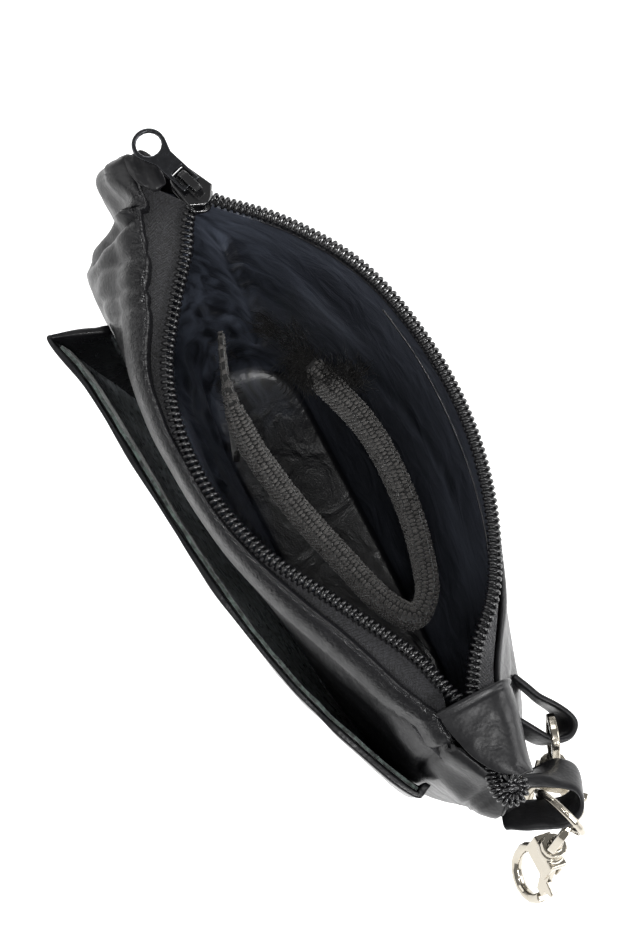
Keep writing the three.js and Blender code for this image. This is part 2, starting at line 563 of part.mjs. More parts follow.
// The loop's sewn end, a flat stretch of the band that goes down to the lining's floor.
const stem = { width: 10.4, thickness: 2.2, middle: [-40.9, -10.7], turn: -20, foot: 5,
  top: elasticHeight - elasticBand.height / 2 - gap };
addPiece("elastic_stem", new THREE.BoxGeometry(stem.width, stem.thickness, stem.top - stem.foot)
  .rotateZ((stem.turn * Math.PI) / 180).translate(...stem.middle, (stem.top + stem.foot) / 2), elastic);

// A tuft: thin strands fused at their root.
const coneAxis = new THREE.Vector3(0, 1, 0);
function tuft(root, aims) {
  const strands = aims.map((aim) => {
    const way = new THREE.Vector3(...aim);
    const strand = new THREE.ConeGeometry(0.8, way.length(), 4).translate(0, way.length() / 2 - 0.5, 0);
    const turn = new THREE.Quaternion().setFromUnitVectors(coneAxis, way.clone().normalize());
    return strand.applyQuaternion(turn).translate(...root);
  });
  return join(new THREE.BoxGeometry(2.2, 2.2, 2.2).translate(...root), ...strands);
}
addPiece("fray_inner", tuft([-28.6, 7.4, 109.2],
  [[9, -8.4, 0.6], [6.6, -9.4, 1.8], [4, -8, 0.8], [-5.8, -5.4, 1.4], [-12, -5.4, 0.6], [-8, -3, 2.2],
    [8.6, -5, 1.6]]), elastic);
addPiece("fray_outer", tuft([-20, 16.6, 103],
  [[-6, 3, 2.4], [-3, 5, 3], [1, 6, 2.2], [5, 4.4, 2.8], [-7, -0.6, 3.2], [2, 4, 5]]), elastic);

// ---------- leather straps at the right end ----------
const strapWidth = 8.4;
const strapThickness = 1.8;
function band(width, thickness) {
  const [s, u] = [thickness / 2, width / 2];
  return () => [[-s, -u], [s, -u], [s, u], [-s, u]];
}
const backStrap = { height: 112, apex: [86.6, 19.4], clipAt: [86.1, 17.4] };
const sideStrap = { height: 121, apex: [103.2, 11.4] };
const strap = (points, { height }, steps) =>
  sweep(curve(atHeight(points, height), steps), band(strapWidth, strapThickness));
addPiece("back_strap", strap([[70, 17.4], [75, 19], [80, 22], [84.4, 22.4], backStrap.apex,
  [85.4, 15.8], [80.8, 12.6]], backStrap, 18), blackLeather);
addPiece("side_strap", strap([[91.4, 7.4], [93.8, 13], [97.4, 16.8], [101.4, 15.8], sideStrap.apex,
  [102, 7], [100.2, 3], [99.4, 0.2], [99.4, -2.4]], sideStrap, 22), blackLeather);

// ---------- snap clips ----------
// A clip is made with its strap eye round the origin and its hook down -Z, in the XZ plane.
const clip = {
  eyeWidth: 6.8, eyeHeight: 9.8, bar: 2, disc: 3.4, discHeight: 1.6, pin: 1.3, pinLength: 2, clearance: 0.35,
  block: [9.6, 5, 7.4], slotStart: -0.6, slotTop: 3, slot: 2.6, wire: 1.5,
  gatePivot: [2.8, -5.2], gateRound: 1.6, gateLength: 9.3, gateWidth: 2.2, gatePin: 0.8,
};
const discTop = -(clip.eyeHeight / 2 + clip.bar + 1);
const discBottom = discTop - clip.discHeight;
const hookTop = discBottom - clip.clearance;
const onAxis = (radius, height, z, sides = 12) =>
  new THREE.CylinderGeometry(radius, radius, height, sides).rotateX(Math.PI / 2).translate(0, 0, z);
const acrossY = (radius, height, x, z) =>
  new THREE.CylinderGeometry(radius, radius, height, 8).translate(x, 0, z);

function clipEye() {
  const halfWidth = clip.eyeWidth / 2 + clip.bar;
  const halfHeight = clip.eyeHeight / 2 + clip.bar;
  const corner = 3.4;
  const rounded = (path, w, h, r) => path
    .absarc(w - r, -h + r, r, -Math.PI / 2, 0)
    .absarc(w - r, h - r, r, 0, Math.PI / 2)
    .absarc(-w + r, h - r, r, Math.PI / 2, Math.PI)
    .absarc(-w + r, -h + r, r, Math.PI, 1.5 * Math.PI);
  const outline = rounded(new THREE.Shape(), halfWidth, halfHeight, corner + 1);
  const opening = rounded(new THREE.Path(), halfWidth - clip.bar, halfHeight - clip.bar, corner - 1);
  outline.holes.push(opening);
  return join(plate(outline, clip.bar, 3), onAxis(1.7, 2.4, discTop + 1),
    onAxis(clip.disc, clip.discHeight, (discTop + discBottom) / 2),
    onAxis(clip.pin, clip.pinLength + 0.4, discBottom - clip.pinLength / 2 + 0.2, 8));
}

function clipHook() {
  const [width, depth, height] = clip.block;
  const [pivotX, pivotZ] = clip.gatePivot;
  const block = join(onAxis(clip.disc, 2, hookTop - 1),
    new THREE.BoxGeometry(width, depth, height - 1).translate(0, 0, hookTop - 0.5 - height / 2));
  const slot = new THREE.BoxGeometry(width, clip.slot, height).translate(
    clip.slotStart + width / 2, 0, hookTop - clip.slotTop - height / 2);
  const boreDepth = clip.pinLength + clip.clearance;
  const bore = onAxis(clip.pin + clip.clearance, boreDepth + 0.2, hookTop - boreDepth / 2 + 0.1, 8);
  const body = wire([[-3, 0, hookTop - height + 1], [-5.6, 0, hookTop - 10], [-6.4, 0, hookTop - 15],
    [-4.6, 0, hookTop - 20.2], [0, 0, hookTop - 22.4], [4.6, 0, hookTop - 20], [6.1, 0, hookTop - 15.6]],
    clip.wire, 12);
  return join(cut(block, slot, bore), body, acrossY(clip.gatePin, depth, pivotX, hookTop + pivotZ));
}

function clipGate() {
  const [pivotX, pivotZ] = clip.gatePivot;
  const half = clip.gateWidth / 2;
  const end = -clip.gateLength;
  const outline = new THREE.Shape();
  outline.absarc(0, 0, clip.gateRound, 0, Math.PI, false);
  outline.lineTo(-clip.gateRound, -2.4);
  outline.lineTo(2.2 - half, end);
  outline.lineTo(2.6 + half, end);
  outline.lineTo(2.2 + half, end + 2.4);
  outline.lineTo(5.8, end + 3.8);
  outline.lineTo(6, end + 5);
  outline.lineTo(2.4, end + 5.6);
  outline.holes.push(circleHole(0, 0, clip.gatePin + clip.clearance));
  return plate(outline, clip.slot - 2 * gap, 4).translate(pivotX, 0, hookTop + pivotZ);
}

// Turns the XZ plane to a heading and leans its foot outwards; the hook turns on its swivel.
const leaning = (centre, heading, lean) => new THREE.Matrix4().makeTranslation(...centre)
  .multiply(new THREE.Matrix4().makeRotationZ(heading * Math.PI / 180))
  .multiply(new THREE.Matrix4().makeRotationY(-lean * Math.PI / 180));
function addClip(name, centre, heading, lean, hookTurn) {
  const frame = leaning(centre, heading, lean);
  const hookFrame = frame.clone().multiply(new THREE.Matrix4().makeRotationZ(hookTurn * Math.PI / 180));
  addPiece(`${name}_eye`, clipEye(), nickel, frame);
  addPiece(`${name}_hook`, clipHook(), nickel, hookFrame);
  addPiece(`${name}_gate`, clipGate(), nickel, hookFrame);
}
addClip("back_clip", [...backStrap.clipAt, backStrap.height], -20, 34, 70);

// The side clip hangs from a plain ring round the side strap.
const ring = { radius: 7.2, wire: 1, heading: 20, lean: 34, centre: [102.8, 9.4] };
const ringFrame = leaning([...ring.centre, sideStrap.height], ring.heading, ring.lean);
const ringSolid = new THREE.TorusGeometry(ring.radius, ring.wire, 8, 18).rotateX(Math.PI / 2);
addPiece("side_ring", ringSolid, nickel, ringFrame);
const sideClip = { heading: -64, lean: 27 };
const ringFoot = new THREE.Vector3(0, 0, -ring.radius).applyMatrix4(ringFrame);
const eyeDrop = clip.eyeHeight / 2 - ring.wire - 3.4 * gap;
const sideEye = new THREE.Vector3(0, 0, -eyeDrop).applyMatrix4(
  leaning([0, 0, 0], sideClip.heading, sideClip.lean));
addClip("side_clip", ringFoot.add(sideEye).toArray(), sideClip.heading, sideClip.lean, 60);

export default group;
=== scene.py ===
import json
import math
import random

import bmesh
import bpy
import numpy as np
from mathutils import Matrix, Vector, noise
from mathutils.bvhtree import BVHTree


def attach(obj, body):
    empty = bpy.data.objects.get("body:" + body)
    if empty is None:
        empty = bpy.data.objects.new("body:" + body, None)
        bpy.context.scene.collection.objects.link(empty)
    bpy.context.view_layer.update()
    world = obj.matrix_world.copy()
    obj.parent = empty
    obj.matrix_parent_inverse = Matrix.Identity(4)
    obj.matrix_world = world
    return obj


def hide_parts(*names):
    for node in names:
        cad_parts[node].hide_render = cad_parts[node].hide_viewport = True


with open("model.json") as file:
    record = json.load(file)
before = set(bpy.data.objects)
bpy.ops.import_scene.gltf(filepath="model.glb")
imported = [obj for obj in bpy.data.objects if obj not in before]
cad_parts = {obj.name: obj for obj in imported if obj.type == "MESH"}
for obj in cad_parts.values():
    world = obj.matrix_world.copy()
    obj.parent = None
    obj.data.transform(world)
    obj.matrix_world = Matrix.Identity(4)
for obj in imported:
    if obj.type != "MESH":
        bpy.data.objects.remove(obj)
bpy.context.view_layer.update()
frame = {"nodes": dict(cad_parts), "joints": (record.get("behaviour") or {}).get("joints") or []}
mm = 0.001
print("frame loaded")


# Small helpers.
def linearColour(hexColour):
    # sRGB hex to the linear values the shaders take
    parts = [int(hexColour[i:i + 2], 16) / 255 for i in (1, 3, 5)]
    return tuple(c / 12.92 if c <= 0.04045 else ((c + 0.055) / 1.055) ** 2.4 for c in parts) + (1.0,)


def addNode(tree, kind, settings=None, inputs=None):
    node = tree.nodes.new(kind)
    for name, value in (settings or {}).items():
        setattr(node, name, value)
    for key, value in (inputs or {}).items():
        socket = node.inputs[key]
        if isinstance(value, bpy.types.NodeSocket):
            tree.links.new(value, socket)
        else:
            socket.default_value = value
    return node


def newMaterial(name, colour, roughness, **shaderValues):
    material = bpy.data.materials.new(name)
    material.use_nodes = True
    tree = material.node_tree
    shader = tree.nodes["Principled BSDF"]
    shader.inputs["Base Color"].default_value = linearColour(colour)
    shader.inputs["Roughness"].default_value = roughness
    for key, value in shaderValues.items():
        shader.inputs[key].default_value = value
    return material, tree, shader


def addObject(name, mesh):
    piece = bpy.data.objects.new(name, mesh)
    bpy.context.scene.collection.objects.link(piece)
    return piece


def evaluatedMesh(piece, name):
    # the shape with its modifiers worked in, as a plain mesh
    bpy.context.view_layer.update()
    graph = bpy.context.evaluated_depsgraph_get()
    mesh = bpy.data.meshes.new_from_object(piece.evaluated_get(graph), depsgraph=graph)
    mesh.name = name
    return mesh


def frozen(piece):
    # the same piece as a plain mesh, with no modifier left
    old = piece.data
    mesh = evaluatedMesh(piece, piece.name)
    piece.modifiers.clear()
    piece.data = mesh
    bpy.data.meshes.remove(old)
    mesh.name = piece.name
    return piece


def softCopy(node, name, levels, crease=0.9, softAbove=None):
    # a merged copy of a CAD solid as a smooth control cage; its rims stay crisp below softAbove
    mesh = frame["nodes"][node].data.copy()
    mesh.materials.clear()
    if "custom_normal" in mesh.attributes:
        mesh.attributes.remove(mesh.attributes["custom_normal"])
    cage = bmesh.new()
    cage.from_mesh(mesh)
    bmesh.ops.remove_doubles(cage, verts=cage.verts, dist=0.005 * mm)
    bmesh.ops.join_triangles(cage, faces=cage.faces, angle_face_threshold=math.radians(50),
                             angle_shape_threshold=math.radians(70))
    creases = cage.edges.layers.float.get("crease_edge") or cage.edges.layers.float.new("crease_edge")
    for edge in cage.edges:
        soft = softAbove is not None and min(v.co.z for v in edge.verts) > softAbove
        if len(edge.link_faces) == 2 and not soft and edge.calc_face_angle(0) > math.radians(50):
            edge[creases] = crease
    for face in cage.faces:
        face.smooth = True
    cage.to_mesh(mesh)
    cage.free()
    piece = addObject(name, mesh)
    finer = piece.modifiers.new("finer", "SUBSURF")
    finer.levels = levels
    finer.render_levels = levels
    return frozen(piece)


def points(piece):
    co = np.empty(len(piece.data.vertices) * 3, np.float32)
    piece.data.vertices.foreach_get("co", co)
    return co.reshape(-1, 3).astype(float)


def normals(piece):
    n = np.empty(len(piece.data.vertices) * 3, np.float32)
    piece.data.vertex_normals.foreach_get("vector", n)
    return n.reshape(-1, 3).astype(float)


def movePoints(piece, co):
    piece.data.vertices.foreach_set("co", co.astype(np.float32).ravel())
    piece.data.update()


def noiseAt(co, size, seed=0.0):
    # smooth noise from -1 to 1, with lumps of that size in metres (one size, or one for each axis)
    scaled = co / np.asarray(size) + seed
    return np.array([noise.noise(Vector(p)) for p in scaled])


def smoothStep(value, low, high):
    share = np.clip((value - low) / (high - low), 0, 1)
    return share * share * (3 - 2 * share)


def bell(value, half):
    # 1 at the middle, dying out over that half width
    return np.exp(-(value / half) ** 2)


def arcOf(line):
    # length run at each point of a line
    return np.concatenate([[0], np.cumsum(np.linalg.norm(line[1:] - line[:-1], axis=1))])


def wallOf(piece):
    faces = [tuple(face.vertices) for face in piece.data.polygons]
    return BVHTree.FromPolygons([v.co for v in piece.data.vertices], faces)


def dressed(piece, material, body="bag", nodes=()):
    piece.data.materials.clear()
    piece.data.materials.append(material)
    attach(piece, body)
    if nodes:
        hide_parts(*nodes)
    return piece


# The line of the open zip.
# Millimetres: middle of the coil all round the mouth, from the left end along the front and back.
mouth = {
    "height": 136.0,
    "line": [(-72, 0.5), (-71, -2.5), (-68, -5.5), (-61, -9.5), (-50, -18), (-34, -28), (-12, -32.2),
             (12, -28.3), (36, -15.8), (55, -5.8), (66, -2.5), (72, 0.5), (67.5, 3.1), (60, 8.2), (49.5, 18.3),
             (32, 27.1), (10, 32.5), (-14, 32.6), (-38, 27.2), (-57, 15.5), (-68, 4.5)],
}


def lineAt(line, place):
    # a rounded line through the points, at a place counted in points
    count = len(line)
    start = math.floor(place)
    share = place - start
    p = [np.array(line[(start + k) % count], float) for k in (-1, 0, 1, 2)]
    d = [max(np.linalg.norm(p[k + 1] - p[k]) ** 0.5, 1e-6) for k in range(3)]
    a = ((p[1] - p[0]) / d[0] - (p[2] - p[0]) / (d[0] + d[1]) + (p[2] - p[1]) / d[1]) * d[1]
    b = ((p[2] - p[1]) / d[1] - (p[3] - p[1]) / (d[1] + d[2]) + (p[3] - p[2]) / d[2]) * d[1]
    return (p[1] + a * share + (-3 * p[1] + 3 * p[2] - 2 * a - b) * share ** 2
            + (2 * p[1] - 2 * p[2] + a + b) * share ** 3)


railSteps = 24
rail = np.array([lineAt(mouth["line"], k / railSteps) for k in range(len(mouth["line"]) * railSteps)]) * mm
railNext = np.roll(rail, -1, axis=0)
railLengths = np.linalg.norm(railNext - rail, axis=1)
railArc = np.concatenate([[0], np.cumsum(railLengths)[:-1]])
railTotal = railLengths.sum()


def railCoordinates(co, middle):
    # length along the mouth, distance outwards from it, place counted in points of its line, nearest point
    along, across, place, foot = [], [], [], []
    middleArc = np.interp(middle * railSteps, np.arange(len(rail)), railArc)
    ahead = (railNext - rail) / railLengths[:, None]
    for part in np.array_split(co[:, :2], max(1, len(co) // 3000)):
        offset = part[:, None, :] - rail[None]
        step = np.clip((offset * ahead[None]).sum(2), 0, railLengths[None])
        away = offset - step[:, :, None] * ahead[None]
        distance = np.linalg.norm(away, axis=2)
        nearest = distance.argmin(1)
        rows = np.arange(len(part))
        way, out = ahead[nearest], offset[rows, nearest]
        side = way[:, 1] * out[:, 0] - way[:, 0] * out[:, 1]
        along.append(railArc[nearest] + step[rows, nearest])
        across.append(np.where(side > 0, 1, -1) * distance[rows, nearest])
        place.append((nearest + step[rows, nearest] / railLengths[nearest]) / railSteps)
        foot.append(part - away[rows, nearest])
    along, across, place, foot = map(np.concatenate, (along, across, place, foot))
    turns = np.round((along - middleArc) / railTotal)
    return along - turns * railTotal, across, place - turns * len(mouth["line"]), foot


def outwardsFrom(co, foot, across):
    # the way out of the mouth at each point
    offset = co[:, :2] - foot
    return offset * (np.sign(across) / (np.linalg.norm(offset, axis=1) + 1e-9))[:, None]


def addRailUv(piece, along, up):
    layer = piece.data.uv_layers.new(name="rail")
    index = np.empty(len(piece.data.loops), np.int32)
    piece.data.loops.foreach_get("vertex_index", index)
    layer.data.foreach_set("uv", np.stack([along[index], up[index]], 1).astype(np.float32).ravel())


def addMask(piece, name, values):
    mask = piece.data.attributes.new(name, "FLOAT", "POINT")
    mask.data.foreach_set("value", values.astype(np.float32))


# Materials. Sizes of patterns are in millimetres.
def objectPlace(tree):
    return addNode(tree, "ShaderNodeTexCoord").outputs["Object"]


def attributeOf(tree, name):
    return addNode(tree, "ShaderNodeAttribute", {"attribute_name": name}).outputs["Fac"]


def noiseOf(tree, place, size, **settings):
    return addNode(tree, "ShaderNodeTexNoise", None,
                   {"Vector": place, "Scale": 1 / (size * mm), **settings}).outputs["Fac"]


def stretchedNoise(tree, place, size, **settings):
    # a noise with another size each way over the UV map
    scaled = addNode(tree, "ShaderNodeMapping", None,
                     {"Vector": place, "Scale": (1 / (size[0] * mm), 1 / (size[1] * mm), 1.0)}).outputs[0]
    noise = addNode(tree, "ShaderNodeTexNoise", None, {"Vector": scaled, "Scale": 1.0, **settings})
    return noise.outputs["Fac"]


def worked(tree, operation, *values):
    return addNode(tree, "ShaderNodeMath", {"operation": operation}, dict(enumerate(values))).outputs[0]


def ranged(tree, value, low, high, atLow, atHigh):
    return addNode(tree, "ShaderNodeMapRange", None,
                   {"Value": value, 1: low, 2: high, 3: atLow, 4: atHigh}).outputs[0]


def mixed(tree, share, first, second, **settings):
    return addNode(tree, "ShaderNodeMix", {"data_type": "RGBA", **settings},
                   {0: share, 6: first, 7: second}).outputs[2]


def shaded(tree, colour, factor):
    return mixed(tree, 1.0, linearColour(colour), factor, blend_type="MULTIPLY")


def bumped(tree, shader, height, strength, depth):
    bump = addNode(tree, "ShaderNodeBump", None,
                   {"Strength": strength, "Distance": depth * mm, "Height": height})
    tree.links.new(bump.outputs[0], shader.inputs["Normal"])


def leatherMaterial(name, colour, roughness, grain=1.0, crinkled=False, paintedPocketLight=False):
    # Soft drum-dyed nappa: even black, a low broad gloss, fine pores, and crinkles where it is gathered.
    material, tree, shader = newMaterial(name, colour, roughness, **{"Specular IOR Level": 0.32})
    place = objectPlace(tree)
    pores = addNode(tree, "ShaderNodeTexVoronoi", {"feature": "SMOOTH_F1"},
                    {"Vector": place, "Scale": 1 / (0.9 * mm), "Smoothness": 0.6}).outputs["Distance"]
    lines = noiseOf(tree, place, 3.5, Detail=5.0, Roughness=0.6, Distortion=0.6)
    height = worked(tree, "MULTIPLY_ADD", pores, 0.45, lines)
    gloss = ranged(tree, lines, 0.3, 0.7, roughness - 0.07, roughness + 0.08)
    if crinkled:
        # the pressed ridge of the roll is burnished: its crinkles catch small bluish lights
        mask = attributeOf(tree, "crinkle")
        along = addNode(tree, "ShaderNodeUVMap", {"uv_map": "rail"}).outputs["UV"]
        folds = stretchedNoise(tree, along, (1.3, 1.9), Detail=4.0, Roughness=0.6, Distortion=1.0)
        height = worked(tree, "MULTIPLY_ADD", worked(tree, "MULTIPLY", folds, mask), 12.0, height)
        # pleats across the roll, gathered more in some places than in others
        pleats = stretchedNoise(tree, along, (2.6, 14), Detail=2.0, Distortion=0.5)
        gathered = ranged(tree, noiseOf(tree, place, 16), 0.42, 0.65, 0.4, 4.5)
        pleated = worked(tree, "MULTIPLY", gathered, attributeOf(tree, "pleated"))
        height = worked(tree, "MULTIPLY_ADD", pleats, pleated, height)
        gloss = worked(tree, "MULTIPLY_ADD", mask, -0.2, gloss)
    bumped(tree, shader, height, 0.22 * grain, 0.5)
    tree.links.new(gloss, shader.inputs["Roughness"])
    tone = shaded(tree, colour, ranged(tree, noiseOf(tree, place, 18, Detail=3.0), 0.3, 0.7, 0.8, 1.25))
    if paintedPocketLight:
        # painted light: the inner face is painted a lighter, mottled grey, standing in for light reaching into the
        # narrow pocket
        mottle = ranged(tree, noiseOf(tree, place, 2.2, Detail=5.0, Roughness=0.7), 0.35, 0.65, 0.35, 1.7)
        tone = mixed(tree, attributeOf(tree, "paintedPocketLightShare"), tone, shaded(tree, "#8a9093", mottle))
    tree.links.new(tone, shader.inputs["Base Color"])
    return material


def satinMaterial():
    # Acetate satin lining: navy black, with a soft bluish sheen on its folds from floats 0.3 mm apart.
    colour, paintedLightColour = "#0b0b0e", "#474c57"
    material, tree, shader = newMaterial("navySatinLining", colour, 0.3, **{
        "Sheen Weight": 0.14, "Sheen Roughness": 0.4, "Specular IOR Level": 0.6})
    shader.inputs["Sheen Tint"].default_value = linearColour("#a4adc4")
    place = objectPlace(tree)
    floats = noiseOf(tree, place, 0.5, Detail=2.0, Roughness=0.6)      # drawn coarser than the real 0.3 mm
    creases = noiseOf(tree, place, 11, Detail=4.0, Roughness=0.5, Distortion=1.2)
    bumped(tree, shader, worked(tree, "MULTIPLY_ADD", floats, 0.12, creases), 0.5, 1.2)
    # painted light: at the front-left end, and less along the front wall, the crests of the creases are painted a
    # lighter navy grey, standing in for the light from the right that falls on these folds
    paintedFoldLight = worked(tree, "MULTIPLY", ranged(tree, creases, 0.42, 0.62, 0.1, 1.0), attributeOf(tree, "paintedLightShare"))
    tone = mixed(tree, paintedFoldLight, linearColour(colour), linearColour(paintedLightColour))
    tree.links.new(tone, shader.inputs["Base Color"])
    return material


def tapeMaterial():
    # Woven polyester zip tape: matt charcoal, a herringbone of 0.85 mm ribs running along it.
    colour = "#1b1b1e"
    material, tree, shader = newMaterial("wovenZipTape", colour, 0.75, **{
        "Sheen Weight": 0.25, "Sheen Roughness": 0.5, "Specular IOR Level": 0.35})
    along = addNode(tree, "ShaderNodeUVMap", {"uv_map": "rail"}).outputs["UV"]
    parts = addNode(tree, "ShaderNodeSeparateXYZ", None, {0: along}).outputs
    slant = worked(tree, "ADD", parts[0], worked(tree, "PINGPONG", parts[1], 1.7 * mm))
    ribs = worked(tree, "SINE", worked(tree, "MULTIPLY", slant, 2 * math.pi / (0.85 * mm)))
    fuzz = noiseOf(tree, objectPlace(tree), 0.9, Detail=4.0, Roughness=0.75)
    height = worked(tree, "MULTIPLY_ADD", fuzz, 16.0, ribs)
    bumped(tree, shader, height, 0.9, 0.06)
    tree.links.new(shaded(tree, colour, ranged(tree, height, 6.2, 9.8, 0.3, 2.0)), shader.inputs["Base Color"])
    return material


def coilMaterial():
    # Extruded nylon wire: deep black with small sharp highlights on every turn.
    material, tree, shader = newMaterial("blackNylonCoil", "#111113", 0.18, **{"Specular IOR Level": 0.6})
    dust = noiseOf(tree, objectPlace(tree), 1.2, Detail=3.0)
    tree.links.new(ranged(tree, dust, 0.3, 0.7, 0.12, 0.26), shader.inputs["Roughness"])
    return material


def metalMaterial(name, colour, roughness, scratch):
    # Plated die-cast zinc: a mirror-like coat with faint handling marks.
    material, tree, shader = newMaterial(name, colour, roughness, Metallic=1.0)
    marks = noiseOf(tree, objectPlace(tree), 2.5, Detail=6.0, Roughness=0.7)
    gloss = ranged(tree, marks, 0.35, 0.65, roughness * 0.7, roughness + scratch)
    tree.links.new(gloss, shader.inputs["Roughness"])
    bumped(tree, shader, marks, 0.06, 0.1)
    return material


def enamelMaterial():
    # Black lacquer baked on the slider: deep and smooth, with crisp lights.
    material, tree, shader = newMaterial("bakedBlackLacquer", "#08080a", 0.15, **{
        "Specular IOR Level": 0.65, "Coat Weight": 0.4, "Coat Roughness": 0.08})
    dust = noiseOf(tree, objectPlace(tree), 1.6, Detail=4.0)
    tree.links.new(ranged(tree, dust, 0.3, 0.7, 0.1, 0.3), shader.inputs["Roughness"])
    return material


def webbingMaterial(name, colour):
    # Ribbed polyester elastic: dull brown-black thread, a little lighter where it is rubbed.
    material, tree, shader = newMaterial(name, colour, 0.62, **{
        "Sheen Weight": 0.3, "Sheen Roughness": 0.5, "Specular IOR Level": 0.4})
    place = objectPlace(tree)
    bumped(tree, shader, noiseOf(tree, place, 0.45, Detail=3.0, Roughness=0.7), 0.6, 0.15)
    wear = ranged(tree, noiseOf(tree, place, 1.7, Detail=2.0), 0.3, 0.7, 0.55, 1.5)
    tree.links.new(shaded(tree, colour, wear), shader.inputs["Base Color"])
    return material


def suedeMaterial():
    # The flesh side of the leather at a cut edge: greenish grey, matt and hairy.
    colour = "#434e4a"
    material, tree, shader = newMaterial("rawLeatherEdge", colour, 0.9, **{
        "Sheen Weight": 0.4, "Sheen Roughness": 0.6, "Specular IOR Level": 0.2})
    hair = noiseOf(tree, objectPlace(tree), 1.6, Detail=5.0, Roughness=0.8)
    tree.links.new(shaded(tree, colour, ranged(tree, hair, 0.42, 0.64, 0.08, 1.8)), shader.inputs["Base Color"])
    bumped(tree, shader, hair, 0.7, 0.3)
    return material


def fibreMaterial():
    # Loose polyester yarn: dull brownish black.
    colour = "#0c0b0a"
    material, tree, shader = newMaterial("looseElasticYarn", colour, 0.8, **{
        "Sheen Weight": 0.05, "Specular IOR Level": 0.2})
    tint = ranged(tree, noiseOf(tree, objectPlace(tree), 1.5, Detail=2.0), 0.3, 0.7, 0.4, 1.5)
    tree.links.new(shaded(tree, colour, tint), shader.inputs["Base Color"])
    return material


shellLeather = leatherMaterial("softBlackLeather", "#111113", 0.4, 1.0, crinkled=True)
plainLeather = leatherMaterial("softBlackLeatherTrim", "#121214", 0.38, 0.8)
rimLeather = leatherMaterial("pressedPocketLeather", "#111113", 0.3, 0.8, paintedPocketLight=True)
satin = satinMaterial()
tapeCloth = tapeMaterial()
nylon = coilMaterial()
gunmetal = metalMaterial("gunmetalPlating", "#434447", 0.2, 0.12)
enamel = enamelMaterial()
nickel = metalMaterial("brightNickelPlating", "#aaa498", 0.17, 0.1)
webbing = webbingMaterial("ribbedElastic", "#3d3b39")
# painted shade: a much darker copy of the elastic for the band under the ribs and for its stem, standing in for the
# shade between the ribs; the ribs keep the lighter copy
shadedElasticGround = webbingMaterial("elasticGroundPaintedShade", "#0b0a09")
suede = suedeMaterial()
yarn = fibreMaterial()
print("materials made")


# Leather shell.
shell = {
    "levels": 3,
    "billow": 1.5,         # slow swelling of the sides
    "billowSize": 34.0,
    "ruck": 0.6,          # smaller folds
    "ruckSize": (13.0, 13.0, 9.0),
    "crinkleFrom": 132.5,  # height where the crinkled ridge of the roll starts
}
# Where the plump roll ends against the zip tape, as it should be and as the solid's lip has it, millimetres.
rollEdge = {
    "wanted": [(-94, -8), (-87.2, -10.4), (-78.2, -12.5), (-71.4, -14.6), (-65, -17.2), (-56.8, -21.6),
               (-48.6, -25.3), (-40.4, -29.7), (-34.5, -31.6), (-24, -33.2), (-12.9, -33.3), (2, -32.2),
               (9.9, -30.4), (17.6, -28), (28.8, -23.5), (42.9, -17.3), (58.3, -11.4), (64.7, -8.9), (70, -6.6),
               (76.5, -6.2), (82, -4.6), (88, -2.2), (93, 2)],
    "solid": [(-94, -8), (-88.2, -15.4), (-77.3, -15.7), (-75.7, -14.5), (-67.5, -22.3), (-60.4, -25.9),
              (-52.9, -29), (-43.8, -30.8), (-34.4, -31.8), (-23.5, -33.2), (-12, -34.3), (0.3, -33.3), (12.6, -30.4),
              (25.5, -26.4), (38.2, -22), (49.3, -17.4), (60, -13.3), (69.8, -12.1), (78.7, -9.3), (88, -7.5),
              (95.7, -4.2)],
    "reach": 9.0, "lift": 1.3,
}
# Fuller corners of the roll: place in plan, size and push, millimetres.
lobes = [
    {"at": (-94, -17), "size": 8.0, "push": (-1.6, -3.0)},
    {"at": (-78.5, -31.5), "size": 6.0, "push": (-0.6, -1.2)},
]
# Folds and seams across the padded edge: a line in plan from the outside in, depth and half width,
# millimetres; bottom is the height where the fold has died out.
edgeFolds = [
    {"from": (-76.2, -24.5), "to": (-77.2, -18.6), "depth": 3.2, "half": 1.3, "bottom": 104},   # stitched pinch
    {"from": (-69.6, -28.0), "to": (-68.0, -19.5), "depth": 0.9, "half": 1.1, "bottom": 112},
    {"from": (-62.4, -31.0), "to": (-58.8, -24.3), "depth": 0.9, "half": 1.0, "bottom": 110},
    {"from": (-56.6, -31.0), "to": (-54.7, -25.5), "depth": 0.5, "half": 0.9, "bottom": 116},
    {"from": (64.1, -19.4), "to": (63.7, -15.5), "depth": 0.35, "half": 0.9, "bottom": 122},
    {"from": (67.5, -18.0), "to": (66.7, -13.1), "depth": 0.4, "half": 0.9, "bottom": 120},
    {"from": (76.9, -17.5), "to": (77.5, -8.8), "depth": 1.5, "half": 1.0, "bottom": 96},      # seams
    {"from": (92.4, -12.0), "to": (88.2, -5.2), "depth": 1.3, "half": 0.8, "bottom": 96},
    {"from": (94.0, -10.2), "to": (89.6, -4.2), "depth": 0.8, "half": 0.6, "bottom": 100},
]


def foldDepthAt(co, fold):
    # how deep the fold is at each point, millimetres
    start, end = np.array(fold["from"]) * mm, np.array(fold["to"]) * mm
    way = end - start
    length = np.linalg.norm(way)
    way /= length
    offset = co[:, :2] - start
    along = offset @ way
    side = offset @ np.array([way[1], -way[0]]) + 0.35 * mm * noiseAt(co, 4 * mm, 1.3)
    reach = smoothStep(along, -9 * mm, -2 * mm) * (1 - smoothStep(along, length, length + 3 * mm))
    rise = smoothStep(co[:, 2], fold["bottom"] * mm, (fold["bottom"] + 12) * mm)
    return fold["depth"] * bell(side, fold["half"] * mm) * reach * rise


def acrossOf(line, middle):
    # distance outwards from the mouth, by place, for a line in plan
    fine = np.array([lineAt([line[0]] + line + [line[-1]], 1 + k / 4 - 1e-6 * (k > 0))
                     for k in range(4 * (len(line) - 1) + 1)]) * mm
    along, across, place, foot = railCoordinates(np.column_stack([fine, np.zeros(len(fine))]), middle)
    order = np.argsort(place)
    return place[order], across[order]


